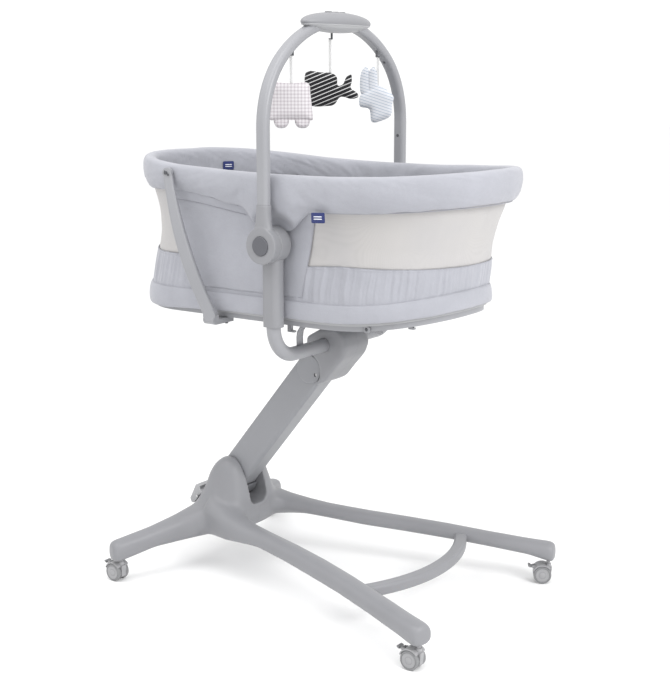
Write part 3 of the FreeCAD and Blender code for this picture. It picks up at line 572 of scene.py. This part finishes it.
CASTER = {"front_near": (0.444, -0.300, 0.0), "front_far": (0.444, 0.300, 30.0),
          "rear_near": (-0.416, -0.300, 0.0), "rear_far": (-0.416, 0.300, 15.0)}
TRAIL, WHEEL_R, WHEEL_IN = 0.014, 0.022, 0.0075
# Radius, and distance out from the wheel's inner face
TREAD_PROFILE = [
    (0.008, 0), (0.0195, 0), (0.0212, 0.0012), (0.0219, 0.0030), (0.0216, 0.0042), (0.0219, 0.0054),
    (0.0219, 0.0066), (0.0216, 0.0076), (0.0218, 0.0088), (0.0208, 0.0104), (0.0192, 0.0110),
    (0.0172, 0.0108), (0.0168, 0.0100), (0.0100, 0.0099),
]
DISC_PROFILE = [
    (0.002, 0.0085), (0.0164, 0.0085), (0.0164, 0.0106), (0.0155, 0.0112), (0.0140, 0.0106),
    (0.0080, 0.0098), (0.0066, 0.0108), (0.0052, 0.0114), (0.001, 0.0115),
]


def lathe(name, profile, centre, axis, mat, count=56):
    """Turn (radius, along) pairs about the axis through centre."""
    side = axis.orthogonal().normalized()
    other = axis.cross(side)
    spokes = [side * cos(a) + other * sin(a) for a in turns(count)]
    rings = [[centre + axis * along + spoke * radius for spoke in spokes] for radius, along in profile]
    return loft(name, rings, mat)


def wheels(name):
    """Two wheels: a ribbed tread round a dished disc with a raised cap."""
    x, y, turn = CASTER[name]
    spin = Matrix.Rotation(radians(turn), 3, "Z")
    axle = spin @ ACROSS
    centre = V((x, y, WHEEL_R)) + spin @ V((-TRAIL, 0, 0))
    for label, profile, mat in (("tyres_", TREAD_PROFILE, TREAD), ("wheel_discs_", DISC_PROFILE, WHEEL_HUB)):
        pair = []
        for side in (-1, 1):
            outward = [(radius, side * (WHEEL_IN + out)) for radius, out in profile]
            pair.append(lathe("wheel", outward, centre, axle, mat))
        piece = smooth_shade(join(label + name, *pair))
        add(piece, "wheels_" + name, ["caster_wheels_" + name])


for caster_name in CASTER:
    wheels(caster_name)


# ---- column and knuckle

# x and z round the shroud, from its tongue over the nose to the crotch above the post
KNUCKLE = [
    (-0.034, 0.616), (0.008, 0.640), (0.052, 0.643), (0.074, 0.628), (0.083, 0.602), (0.072, 0.574),
    (0.046, 0.545), (0.018, 0.511), (-0.012, 0.498), (-0.012, 0.552), (-0.032, 0.580),
]


def knuckle():
    """The rounded shroud that joins the post to the fork, in two halves."""
    body = melt(extrude("knuckle", KNUCKLE, -0.052, 0.052), voxel=0.0030, rounds=55)
    post_end = disc("post_end", KNEE.x, KNEE.z, 0.0425, -0.06, 0.06)
    body = melt(carve(body, post_end), voxel=0.0022, rounds=4)
    arm = lathe("arm", [(0.0162, -0.08), (0.0162, 0.08)], V((TILT.x, 0, 0.602)), ACROSS, None)
    halves(carve(body, arm), "knuckle_", "knuckle_shell_", "carrier", (-0.3, 0.4), 0.2, (0.3, 0.9))


knuckle()


# ---- play arch

# z, half length, half thickness and y of the neck that blends each foot's disc into its socket
NECK = [
    (0.872, 0.0260, 0.0110, -0.2722),
    (0.892, 0.0225, 0.0115, -0.2720),
    (0.910, 0.0180, 0.0118, -0.2712),
    (0.930, 0.0164, 0.0122, -0.2704),
    (0.9462, 0.0160, 0.0125, -0.2700),
]
NECK_TOP = 0.9458


def arch_feet():
    """Each foot's disc runs up into the socket in one soft blend, with the button sunk in its face."""
    plate = disc("foot", TILT.x, TILT.z, 0.0402, -0.2842, -0.2606)
    rings = [super_ring(V((TILT.x, y, z)), ALONG, ACROSS, half_x, half_y, power=3.0, count=40)
             for z, half_x, half_y, y in NECK]
    foot = melt(join("foot", plate, loft("neck", rings, None)), voxel=0.0016, rounds=7)
    recess = disc("recess", TILT.x, TILT.z, 0.0214, -0.30, -0.2700)
    above = block("above", -0.1, 0.2, -0.4, 0, NECK_TOP, 1.2)
    foot = paint(smooth_shade(carve(foot, recess, above)), SHELL)
    foot.name = "arch_foot_near"
    for one in (foot, smooth_shade(mirrored(foot, "arch_foot_far"))):
        add(one, "arch", ["arch_feet"])


arch_feet()


def console_trim():
    """The thin pale line between the console's two shells."""
    half_x, half_y, z, thick = 0.0349, 0.1229, 1.329, 0.0011
    points = [V((TILT.x + half_x * cos(a), half_y * sin(a), z)) for a in turns(72)]
    rings = []
    for k, point in enumerate(points):
        ahead = (points[(k + 1) % len(points)] - points[k - 1]).normalized()
        rings.append(super_ring(point, ahead.cross(UP), UP, thick, thick, power=2.0, count=10))
    add(loft("console_trim", rings, PALE, closed=True), "arch")


console_trim()


# ---- tub cloth

def rim_stretches():
    """Lengths of the rim outline's straight and round stretches, from the middle of the foot end."""
    head, foot, half_y, head_r, foot_r = RIM_PLAN
    half = [half_y - foot_r, pi / 2 * foot_r, foot - head - head_r - foot_r, pi / 2 * head_r]
    return half + [2 * (half_y - head_r)] + half[::-1]


OUTLINE = rim_stretches()
OUTLINE_LENGTH = sum(OUTLINE)


def plan(s, shape=RIM_PLAN):
    """Point and outward normal of a plan outline, s from 0 to 1 counter-clockwise from +X along the rim."""
    head, foot, half_y, head_r, foot_r = shape
    left = (s % 1.0) * OUTLINE_LENGTH
    index = 0
    while index < len(OUTLINE) - 1 and left > OUTLINE[index]:
        left -= OUTLINE[index]
        index += 1
    share = left / OUTLINE[index]
    corners = []
    for side, x, r in ((1, foot - foot_r, foot_r), (1, head + head_r, head_r),
                       (-1, head + head_r, head_r), (-1, foot - foot_r, foot_r)):
        corners.append((V((x, side * (half_y - r), 0)), r))
    quarter = index // 2
    angle = (quarter + (share if index % 2 else 0)) * pi / 2
    normal = V((cos(angle), sin(angle), 0))
    if index % 2:
        centre, radius = corners[quarter]
        return centre + normal * radius, normal
    middle = V((foot, 0, 0))
    start = middle if quarter == 0 else corners[quarter - 1][0] + normal * corners[quarter - 1][1]
    end = middle if quarter == 4 else corners[quarter][0] + normal * corners[quarter][1]
    return start.lerp(end, share), normal


# z, and the plan outline of the wall's outer face there
WALL_LEVELS = [
    (0.680, -0.455, 0.388, 0.2100, 0.150, 0.195),
    (0.720, -0.453, 0.390, 0.2100, 0.150, 0.195),
    (0.760, -0.444, 0.389, 0.2095, 0.150, 0.195),
    (0.800, -0.435, 0.393, 0.2080, 0.150, 0.192),
    (0.850, -0.428, 0.397, 0.2060, 0.155, 0.190),
    (0.880, -0.426, 0.404, 0.2080, 0.155, 0.190),
    (0.905, -0.429, 0.413, 0.2110, 0.160, 0.195),
    (0.930, -0.434, 0.423, 0.2180, 0.168, 0.202),
    (0.960, -0.439, 0.432, 0.2280, 0.175, 0.212),
    (0.990, -0.442, 0.440, 0.2320, 0.180, 0.215),
]


def cubic(a, b, c, d, t):
    """A smooth curve from b to c as t goes from 0 to 1, with a and d the values on either side."""
    return b + 0.5 * t * (c - a + t * (2 * a - 5 * b + 4 * c - d + t * (3 * (b - c) + d - a)))


def wall_plan(z):
    """The wall's plan outline at height z."""
    index = 0
    while index < len(WALL_LEVELS) - 2 and z > WALL_LEVELS[index + 1][0]:
        index += 1
    low, high = WALL_LEVELS[index], WALL_LEVELS[index + 1]
    t = min(1.0, max(0.0, (z - low[0]) / (high[0] - low[0])))
    before = WALL_LEVELS[max(0, index - 1)]
    after = WALL_LEVELS[min(len(WALL_LEVELS) - 1, index + 2)]
    return [cubic(before[i], low[i], high[i], after[i], t) for i in range(1, 6)]


def wall_point(s, z, out=0.0):
    """Point and outward normal on the wall's outer face, moved outward by out."""
    place, normal = plan(s, wall_plan(z))
    place += normal * out
    return V((place.x, place.y, z)), normal


def wall_y(x, z):
    """Half width of the wall at x and z."""
    head, _, half_y, head_r, _ = wall_plan(z)
    past = max(0.0, head + head_r - x)
    return half_y - head_r + sqrt(max(0.0, head_r ** 2 - past ** 2))


def tray_low(x):
    """Height of the tray's underside, which curves up towards the foot end."""
    past = max(0.0, x - TRAY_RISE_X)
    return TRAY_Z + TRAY_RISE_R - sqrt(TRAY_RISE_R ** 2 - past ** 2)


def band_low(s):
    """Height of the tray's underside below the wall at s."""
    return tray_low(wall_point(s, TRAY_Z + TRAY_T)[0].x)


def band_top(x):
    """Height of the seam between the fabric band and the net, a little higher towards both ends."""
    foot_rise = 0.08 * min(0.08, max(0.0, x - 0.119))
    head_rise = 0.10 * max(0.0, -x - 0.38)
    return BAND_TOP + foot_rise + head_rise


def rim_top(x):
    return RIM_TOP + (x - RIM_LOW_X) ** 2 / (2 * RIM_TOP_R)


def step(a, b, x):
    """0 up to a, 1 from b on, and a smooth rise between."""
    t = min(1.0, max(0.0, (x - a) / (b - a)))
    return t * t * (3 - 2 * t)


def cover_low(x):
    """Lower edge of the rim cover, with the flap that comes down beside the pivot."""
    flap = 1 - step(0.028 if x > TILT.x else 0.040, 0.095, abs(x - TILT.x))
    if x < 0:
        rise = 0.031 * step(0.02, 0.27, -x) - 0.004 * step(0.30, 0.46, -x)
    else:
        rise = x * x / (2 * COVER_LOW_R)
    return COVER_LOW + rise - FLAP_DROP * flap


def crumple(x, y, seed):
    """Smooth noise from -1 to 1."""
    return noise.noise(V((x + seed, y - seed, 3 * seed)))


def grid(name, at, columns, rows, mat, closed=True):
    """A sheet through at(column share, row share)."""
    width = columns if closed else columns + 1
    verts = [at(i / columns, j / rows) for j in range(rows + 1) for i in range(width)]
    return make(name, verts, quads(rows, columns, rows + 1, width), mat)


def thicken(obj, thickness, inward=True):
    solid = obj.modifiers.new("cloth", "SOLIDIFY")
    solid.thickness = thickness
    solid.offset = -1 if inward else 1
    return baked(obj)


def hang(cloth, thickness, stands_for=()):
    """Thicken a sheet that runs round the whole tub and put it on the tub, hiding the CAD nodes it stands
    for.
    """
    cloth = thicken(cloth, thickness)
    add(cloth, "tub", stands_for)


def on_flank(normal):
    return abs(normal.y) > 0.9


HEM_TOP = 0.046                 # height of the hem band above the tray's underside
HEM_LOW = 0.006
HEM_SHARE = 0.36                # share of the band's rows in the hem


def side_share(x, y):
    """1 on the plain side panels, 0 on the gathered ends."""
    reach = 1 - step(0.075, 0.10, x) if x > 0 else 1 - step(0.205, 0.235, -x)
    return reach if abs(y) > 0.12 else 0.0


def lower_band():
    """The gathered band and the puffed hem below it."""
    def at(u, v):
        x, y, _ = plan(u)[0]
        low = band_low(u)
        seam = low + HEM_TOP
        arc = u * OUTLINE_LENGTH
        if v < HEM_SHARE:
            t = v / HEM_SHARE
            bottom = low + HEM_LOW - 0.011 * step(0.0, 0.35, -x) + 0.0018 * crumple(u * 26, 0, 4.0)
            z = bottom + (seam - bottom) * t
            puff = 0.0042 * (4 * t * (1 - t)) ** 0.6 + 0.0015 * (1 - t)
            out = 0.0030 + puff + 0.0012 * crumple(arc * 22, z * 30, 7.0)
        else:
            t = (v - HEM_SHARE) / (1 - HEM_SHARE)
            z = seam + (band_top(x) - seam) * t
            gather = 1 - 0.92 * side_share(x, y)
            fade = 0.35 + 0.65 * (4 * t * (1 - t)) ** 0.5
            folds = crumple(arc * 62, z * 5.0, 1.0) + 0.6 * crumple(arc * 120, z * 7.0, 2.0)
            out = 0.0004 + 0.0031 * gather * fade * folds + 0.0006 * gather
            if t > 0.94:
                out += 0.0012 * sin((t - 0.94) / 0.06 * pi)
        return wall_point(u, z, out)[0]
    band = grid("lower_band_cloth", at, 1400, 46, FABRIC)
    hang(band, 0.0016, ["lower_band"])


def mesh_wall():
    """The net, stretched from the band to under the cover."""
    def at(u, v):
        x = plan(u)[0].x
        top = cover_low(x) + 0.016
        low = band_top(x) - 0.002
        z = low + (top - low) * v
        arc = u * OUTLINE_LENGTH
        pull = 0.0016 * crumple(arc * 9, z * 10, 11.0)
        pull += 0.0007 * crumple(arc * 34, z * 8, 12.0) * (1 - v)
        return wall_point(u, z, pull - 0.0012)[0]
    wall = grid("mesh_wall_cloth", at, 700, 26, NET)
    hang(wall, 0.0012, ["mesh_wall"])


def seams():
    """Stitched tapes: where the net meets the band, and the piping along the hem's top."""
    radius, count = 0.0010, 520
    for name, out, height in (("net_seam", 0.0006, lambda s: band_top(plan(s)[0].x)),
                              ("hem_piping", 0.0024, lambda s: band_low(s) + HEM_TOP)):
        rings = []
        for k in range(count):
            place, normal = wall_point(k / count, height(k / count), out)
            rings.append(super_ring(place, normal, UP, radius, radius, power=2.0, count=8))
        add(loft(name, rings, FABRIC_TRIM, closed=True), "tub")


lower_band()
mesh_wall()
seams()


# Cover section: share of the cover's width inward from its outer face, and share of its height
COVER_SECTION = [
    (0.62, 0.004), (0.46, 0.030), (0.32, 0.110), (0.16, 0.25), (0.055, 0.41), (0.000, 0.60), (0.014, 0.77),
    (0.065, 0.89), (0.170, 0.965), (0.34, 1.0), (0.56, 1.0), (0.76, 0.965), (0.91, 0.875), (0.985, 0.72),
    (1.0, 0.50), (0.985, 0.25), (0.955, 0.08), (0.88, 0.010), (0.76, 0.000),
]
COVER_WIDTH = 0.036


def cover_section(v):
    """Share of the cover's width and of its height at v, from 0 to 1 round the section."""
    count = len(COVER_SECTION)
    i = int(v * count)
    four = [COVER_SECTION[(i + k) % count] for k in (-1, 0, 1, 2)]
    return [cubic(*[point[axis] for point in four], v * count - i) for axis in (0, 1)]


def rim_cover():
    """The padded cloth over the rim, puckered near the pivots and tucked in behind the fork."""
    def at(u, v):
        point, normal = plan(u)
        x = point.x
        arc = u * OUTLINE_LENGTH
        width, height = cover_section(v)
        outer = 1 - step(0.25, 0.55, width)
        inner = step(0.70, 0.95, width)
        low_half = 1 - step(0.25, 0.75, height)
        near_pivot = exp(-((x - TILT.x) / 0.16) ** 2) * on_flank(normal)
        lean = (x - TILT.x) * (height - 0.5) * 34
        pucker = crumple(arc * 30 + lean, height * 1.2, 21.0)
        fine = crumple(arc * 75 + lean, height * 2.0, 22.0)
        out = outer * (0.0011 * pucker + 0.0034 * near_pivot * low_half * pucker + 0.0010 * low_half * fine)
        out += inner * (0.0014 * pucker + 0.0012 * fine + 0.0026 * near_pivot * pucker)
        z = cover_low(x) + (rim_top(x) - cover_low(x)) * height
        wave = 0.0022 * crumple(arc * 26, 0, 23.0) * (1 - step(0.0, 0.30, height))
        z += wave + 0.0008 * crumple(arc * 12, 0, 24.0) * step(0.9, 1.0, height)
        inset = COVER_WIDTH * width
        place = point - normal * inset
        place += normal * (out if width < 0.6 else -out)
        tuck = 1 - step(0.050, 0.078, hypot(place.x - TILT.x, z - TILT.z))
        y = abs(place.y)
        if tuck > 0 and on_flank(normal) and y > FORK_Y - 0.002:
            y += (FORK_Y - (y - FORK_Y) * 0.04 - y) * tuck
            place.y = y if normal.y > 0 else -y
        return V((place.x, place.y, z))
    cover = grid("rim_cover_cloth", at, 900, 3 * len(COVER_SECTION), FABRIC)
    face_out(cover.data, merge=0.00002)
    add(smooth_shade(cover), "tub", ["rim_cover"])


rim_cover()


def cover_piping():
    """The stitched edge under the cover, round each end of the tub."""
    clear, inset = 0.105, 0.0225
    for name, start in (("foot", -0.25), ("head", 0.25)):
        points = []
        for k in range(301):
            place, normal = plan(start + k / 600)
            if abs(place.x - TILT.x) > clear:
                place -= normal * inset
                points.append(V((place.x, place.y, cover_low(place.x) + 0.0002)))
        add(tube("cover_piping_" + name, points, 0.0012, FABRIC_TRIM), "tub")


cover_piping()


def side_panel(name, side):
    """The plain padded panel on each side, from the cover down to the hem, edged with piping."""
    left_low, left_high, right_low, right_high = -0.240, -0.310, 0.077, 0.121
    z_low, height = 0.741, 0.200

    def at(u, v):
        ease = v ** 1.15
        left = left_low + (left_high - left_low) * ease
        right = right_low + (right_high - right_low) * ease
        x = left + (right - left) * u
        top = cover_low(x) + 0.010
        z = z_low + (top - z_low) * v
        crown = 0.0022 * (max(0.0, 4 * u * (1 - u)) ** 0.35) * (max(0.0, 4 * v * (1 - v)) ** 0.3)
        wave = 0.0011 * crumple(x * 16, z * 12, 31.0 + side)
        y = wall_y(x, z) + 0.0016 + crown + wave
        return V((x, side * min(y, FORK_Y + 0.4 * max(0.0, z - 0.905)), z))
    panel = grid("side_panel_" + name + "_cloth", at, 130, 60, FABRIC, closed=False)
    panel = thicken(panel, 0.0022, inward=side < 0)
    add(panel, "tub", ["side_panel_" + name])
    foot_edge = [at(1.0, k / 40) for k in range(41)]
    top_seam = [at(k / 60, 0.86) for k in range(34)]
    for label, points in (("edge", foot_edge), ("top", top_seam)):
        lifted = [V((p.x, p.y + side * 0.0006, p.z)) for p in points]
        add(tube("panel_" + label + "_" + name, lifted, 0.0009, FABRIC_TRIM), "tub")


side_panel("near", -1)
side_panel("far", 1)


# Top and inner face of the side struts' padding, and the lining's edge under the cover there
STRUT_TOP, STRUT_IN, COVER_IN = 0.9395, 0.1885, 0.2170


def lining():
    """The inner cotton wall, from the mattress to under the rim, padded out over the side struts."""
    def at(u, v):
        point, normal = plan(u)
        over_strut = (1 - step(0.035, 0.11, abs(point.x - TILT.x))) * on_flank(normal)
        low = band_low(u) + TRAY_T + 0.022
        top = cover_low(point.x) + 0.010
        top += (STRUT_TOP - top) * over_strut
        z = low + (top - low) * min(1.0, v / 0.9)
        folds = 0.0016 * crumple(u * OUTLINE_LENGTH * 24, z * 5, 41.0)
        place = wall_point(u, z, folds - 0.0205)[0]
        half = abs(place.y)
        half += (min(half, STRUT_IN) - half) * over_strut
        half += (COVER_IN - half) * over_strut * step(0.9, 1.0, v)
        if on_flank(normal):
            place.y = half if place.y > 0 else -half
        return place
    cloth = grid("inner_lining", at, 420, 30, LINING)
    hang(cloth, 0.0012)


def mattress():
    """A crowned pad with round ends, rising with the tray, its cover sewn in soft diamonds."""
    low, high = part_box("mattress")
    middle = V(((low.x + high.x) / 2, 0, 0))
    columns, rows = 220, 43
    thickness, hem, quilt = 0.050, 0.012, 0.07

    def edge(u, inset):
        place, normal = plan(u, (low.x, high.x, high.y, 0.130, 0.170))
        return place - normal * inset
    rings = []
    side = [(hem, 0.0), (0.003, 0.006), (0.0, 0.016), (0.0, 0.034), (0.004, 0.044), (hem, 0.0495)]
    for inset, height in side:
        rings.append([(edge(k / columns, inset), height) for k in range(columns)])
    for row in range(1, rows + 1):
        share = row / rows
        ring = []
        for k in range(columns):
            place = middle.lerp(edge(k / columns, hem), 1 - share * 0.995)
            a, b = place.x * pi / quilt, place.y * pi / quilt
            puff = abs(sin(a + b) * sin(a - b)) ** 0.35
            ring.append((place, thickness + 0.004 * share ** 0.4 - 0.0035 * (1 - puff)))
        rings.append(ring)
    points = [[V((p.x, p.y, tray_low(p.x) + TRAY_T + 0.0015 + h)) for p, h in ring] for ring in rings]
    pad = loft("mattress_pad", points, SHEET)
    add(pad, "tub", ["mattress"])


lining()
mattress()


def tag(name, centre, across, up, half_w, half_h):
    """A blank woven tag with two stitched bars."""
    out = across.cross(up).normalized()
    plate = [super_ring(centre + out * depth, across, up, half_w - less, half_h - less, power=14.0, count=48)
             for depth, less in ((-0.0006, 0.0), (0.0006, 0.0), (0.0010, 0.0008))]
    add(loft(name, plate, TAG), "tub")
    bars = []
    for row in (-0.22, 0.22):
        middle = centre + up * (row * half_h)
        bar = [super_ring(middle + out * depth, across, up, half_w * 0.62, half_h * 0.09, power=6.0, count=20)
               for depth in (0.0009, 0.0014)]
        bars.append(loft("bar", bar, TAG_MARK))
    add(join(name + "_mark", *bars), "tub")


tag("tag_near", V((0.1505, -0.2512, 0.9245)), V((1, 0, 0.05)), V((-0.05, 0, 1)), 0.0175, 0.0112)
tag("tag_inner", V((-0.4085, 0.1245, 0.9925)), V((0.454, 0.891, 0)), UP, 0.0150, 0.0110)


# ---- stays, fasteners and small parts

def stay_screws():
    """Two dark screw heads at the top of each stay."""
    profile = [(0.0005, 0), (0.0028, 0), (0.0028, 0.0006), (0.0018, 0.0012), (0.0005, 0.0012)]
    for name, side in (("near", -1), ("far", 1)):
        heads = [lathe("head", profile, V((x, 0.2682 * side, z)), V((0, side, 0)), DARK, 20)
                 for x, z in ((-0.2680, 1.006), (-0.2575, 0.999))]
        add(join("stay_screws_" + name, *heads), "tub")


def arch_holes():
    """The sunk screws on the inner face of each arch leg, as flat dark discs: the screws and the painted
    shade in their holes.
    """
    side_y, spring, radius, angle = 0.070, 1.109, 0.1888, radians(47.8)
    out_y, out_z = cos(angle), sin(angle)
    places = [(V((TILT.x, 0.2588, 1.075)), V((0, -1, 0))),
              (V((TILT.x, side_y + radius * out_y, spring + radius * out_z)), V((0, -out_y, -out_z)))]
    profile = [(0.0004, 0.0), (0.0036, 0.0), (0.0036, 0.0004), (0.0026, 0.0006), (0.0004, 0.0006)]
    holes = []
    for place, out in places:
        # A flat dark disc: the screw and painted shade for the hole it sits in.
        hole = lathe("hole", profile, place, out, DARK, 24)
        holes += [hole, mirrored(hole, "hole_near")]
    add(join("arch_screws_and_hole_shade", *holes), "arch")


def tray_bosses():
    """A round bolt boss on each side of the tray frame, towards its foot end."""
    centre, out = V((0.240, -0.1945, 0.6870)), V((0, -1, 0))
    ring = [(0.0005, 0.0), (0.0085, 0.0), (0.0085, 0.0050), (0.0070, 0.0062), (0.0040, 0.0062),
            (0.0038, 0.0050), (0.0005, 0.0050)]
    head = [(0.0004, 0.0050), (0.0034, 0.0050), (0.0034, 0.0056), (0.0004, 0.0058)]
    boss = lathe("boss", ring, centre, out, SHELL, 32)
    bolt = lathe("bolt", head, centre, out, DARK, 20)
    add(join("tray_bosses", boss, mirrored(boss, "boss_far")), "tub")
    add(join("tray_bolts", bolt, mirrored(bolt, "bolt_far")), "tub")


def loop_strip():
    """The curved strip that rises from the fork and steadies the tray from below, on each side."""
    y, half_y, half_t = 0.143, 0.0115, 0.0020
    path = [V((x, y, z)) for x, z in ((0.0195, 0.6165), (0.0190, 0.636), (0.0210, 0.650), (0.0280, 0.6605),
                                      (0.0390, 0.6660), (0.0520, 0.6672))]
    rings = []
    for k, place in enumerate(path):
        ahead = (path[min(k + 1, len(path) - 1)] - path[max(k - 1, 0)]).normalized()
        up = V((-ahead.z, 0, ahead.x))
        rings.append(super_ring(place, ACROSS, up, half_y, half_t, power=5.0, count=24))
    far_strip = loft("loop_strip", rings, TUBE)
    pair = join("loop_strips", far_strip, mirrored(far_strip, "loop_strip_near"))
    add(smooth_shade(pair), "carrier", ["loop_brackets"])


stay_screws()
arch_holes()
tray_bosses()
loop_strip()


# ---- toys

# The eyes that the straps hang from
TOYS = {"left": V((0.02, -0.17, 1.262)), "middle": V((0.002, 0, 1.300)), "right": V((0.02, 0.17, 1.262))}
TOY_AXIS = V((cos(TOY_TURN), sin(TOY_TURN), 0))
TOY_OUT = V((sin(TOY_TURN), -cos(TOY_TURN), 0))
# Outlines in each toy's plane, as offsets from its middle
PAD = [
    (-0.036, 0.046), (0.0, 0.045), (0.036, 0.046), (0.042, 0.020), (0.047, -0.030),
    (0.044, -0.034), (0.0, -0.032), (-0.044, -0.034), (-0.047, -0.030), (-0.042, 0.020),
]
PAD_FOOT = [
    (-0.013, -0.030), (0.013, -0.030), (0.016, -0.040), (0.008, -0.050), (-0.008, -0.050), (-0.016, -0.040),
]
FISH = [
    (-0.053, 0.036), (-0.022, 0.034), (0.004, 0.032), (0.016, 0.022), (0.017, 0.004), (0.030, 0.008),
    (0.036, 0.022), (0.048, 0.030), (0.050, 0.014), (0.047, -0.001), (0.062, -0.012), (0.064, -0.022),
    (0.048, -0.026), (0.034, -0.022), (0.022, -0.022), (0.010, -0.038), (-0.008, -0.042), (-0.046, -0.040),
    (-0.047, -0.010), (-0.058, 0.010),
]
EARED = [
    (-0.044, 0.004), (-0.034, 0.018), (-0.004, 0.034), (0.010, 0.030), (0.026, 0.020), (0.038, 0.006),
    (0.034, -0.012), (0.032, -0.036), (0.012, -0.048), (-0.014, -0.052), (-0.020, -0.022), (-0.042, -0.016),
]
EAR = [
    (-0.010, 0.014), (-0.013, 0.046), (-0.008, 0.068), (0.002, 0.077), (0.009, 0.066), (0.011, 0.044),
    (0.010, 0.014),
]


def curve_outline(points):
    """A smooth closed outline through (a, b) points."""
    count, per = len(points), 10
    result = []
    for i in range(count):
        four = [points[(i + k) % count] for k in (-1, 0, 1, 2)]
        for n in range(per):
            result.append(tuple(cubic(*[p[axis] for p in four], n / per) for axis in (0, 1)))
    return result


def distance_to(outline, a, b):
    """Distance from (a, b) to the nearest side of the outline."""
    best = 1.0
    for i, (ax, ay) in enumerate(outline):
        bx, by = outline[(i + 1) % len(outline)]
        dx, dy = bx - ax, by - ay
        length = dx * dx + dy * dy or 1e-12
        t = min(1.0, max(0.0, ((a - ax) * dx + (b - ay) * dy) / length))
        best = min(best, hypot(a - ax - t * dx, b - ay - t * dy))
    return best


def plush(name, points, centre, half_t, puff, mat):
    """A stuffed shape: an outline in the toy's plane, full in the middle and pinched along its seam."""
    outline = curve_outline(points)
    prism = melt(extrude(name, outline, -half_t, half_t), voxel=0.0024, rounds=2)
    for vert in prism.data.vertices:
        a, t, b = vert.co
        inside = min(distance_to(outline, a, b), puff) / puff
        full = sqrt(max(0.0, 1 - (1 - inside) ** 2))
        t = max(-half_t, min(half_t, t)) * (0.10 + 0.90 * full)
        vert.co = centre + TOY_AXIS * a + UP * b - TOY_OUT * t
    soften(prism, 3)
    face_out(prism.data)
    return paint(smooth_shade(prism), mat)


def moved(points, along):
    return [(a + along, b) for a, b in points]


def strap(name, top, bottom, body):
    """A flat woven strap hanging from its eye."""
    rings = [super_ring(top.lerp(bottom, k / 12), TOY_AXIS, TOY_OUT, 0.0032, 0.0006, power=6.0, count=20)
             for k in range(13)]
    add(loft(name, rings, WEBBING), body)


def toys():
    left, middle, right = [V((eye.x, eye.y, z)) for eye, z in zip(TOYS.values(), (1.157, 1.192, 1.162))]
    pad = plush("toy_pad", PAD, left, 0.015, 0.020, CHECK)
    feet = [plush("toy_foot", moved(PAD_FOOT, a), left, 0.009, 0.009, CHECK) for a in (-0.022, 0.024)]
    soft_pad = smooth_shade(join("toy_pad_soft", pad, *feet))
    add(soft_pad, "toy_left", ["toy_left"])
    fish = plush("toy_fish", FISH, middle, 0.015, 0.018, STRIPE_DARK)
    fish.name = "toy_fish_soft"
    add(fish, "toy_middle", ["toy_middle"])
    eared = plush("toy_eared", EARED, right, 0.013, 0.017, STRIPE_PALE)
    ears = [plush("toy_ear", moved(EAR, a), right, 0.009, 0.010, STRIPE_PALE) for a in (-0.030, -0.012)]
    soft_eared = smooth_shade(join("toy_eared_soft", eared, *ears))
    add(soft_eared, "toy_right", ["toy_right"])
    for (side, eye), low in zip(TOYS.items(), (1.200, 1.223, 1.190)):
        strap("strap_" + side, eye - UP * 0.002, V((eye.x, eye.y, low)), "toy_" + side)


toys()


# ---- finishes on the CAD nodes

# CAD nodes that keep their own shape, by material
FINISH = [
    (SHELL, "cross_bar fork_sleeves tray_hooks console_upper"),
    (PALE, "foot_pedal tray console_lower"),
    (STEEL, "pedal_axle hub_core hub_pins cap_screws link_rod knuckle_core knuckle_pins"),
    (STEEL, "tilt_pins side_struts rim_frame"),
    (POST, "post_shell post_caps"),
    (INSERT, "slot_cover"),
    (TUBE, "fork_tube tray_frame stays arch_tube"),
    (DARK, "stay_fasteners toy_hooks"),
    (BUTTON, "release_button_near release_button_far console_key_1 console_key_2 console_key_3"),
]
for caster_name in CASTER:
    FINISH += [(WHEEL_HUB, "caster_fork_" + caster_name), (TREAD, "caster_brake_" + caster_name)]


def finish_nodes():
    for mat, names in FINISH:
        for name in names.split():
            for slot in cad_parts[name].material_slots:
                slot.material = mat


finish_nodes()


# ---- floor, light and camera

def stage():
    mat, tree, shader = material("floor", (0.93, 0.93, 0.93), 0.9, spec=0.1)
    haze = texture(tree, "Noise", coords(tree), Scale=2.0, Detail=2.0)
    dim, lit = (0.925, 0.925, 0.925, 1), (0.935, 0.935, 0.935, 1)
    colour = ramp(tree, haze.outputs["Fac"], [(0.3, dim), (0.7, lit)])
    tree.links.new(colour, shader.inputs["Base Color"])
    far = 30
    corners = [(-far, -far, 0), (far, -far, 0), (far, far, 0), (-far, far, 0)]
    floor = make("floor", corners, [(0, 1, 2, 3)], mat, False)
    world = bpy.data.worlds.new("studio")
    world.use_nodes = True
    sky = world.node_tree.nodes["Background"]
    sky.inputs["Color"].default_value = (1, 1, 1, 1)
    sky.inputs["Strength"].default_value = 1.10
    bpy.context.scene.world = world


def area_light(name, place, target, size, power):
    light = bpy.data.lights.new(name, "AREA")
    light.shape = "RECTANGLE"
    light.size, light.size_y = size
    light.energy = power
    obj = link(bpy.data.objects.new(name, light))
    obj.location = place
    obj.rotation_euler = (V(target) - V(place)).to_track_quat("-Z", "Y").to_euler()


def camera():
    data = bpy.data.cameras.new("camera")
    data.sensor_width = 36
    data.lens = 67.73
    data.clip_end = 60
    obj = link(bpy.data.objects.new("camera", data))
    obj.location = (1.787, -2.489, 1.219)
    obj.rotation_euler = (radians(90 - 11.774), 0, radians(35.436))
    bpy.context.scene.camera = obj


stage()
area_light("key", (3.2, -0.6, 2.6), (0, 0, 0.7), (1.6, 1.6), 70)
area_light("top", (-0.4, -1.2, 3.2), (0, 0, 0.6), (2.2, 2.2), 40)
camera()
bpy.context.scene.view_settings.view_transform = "Standard"
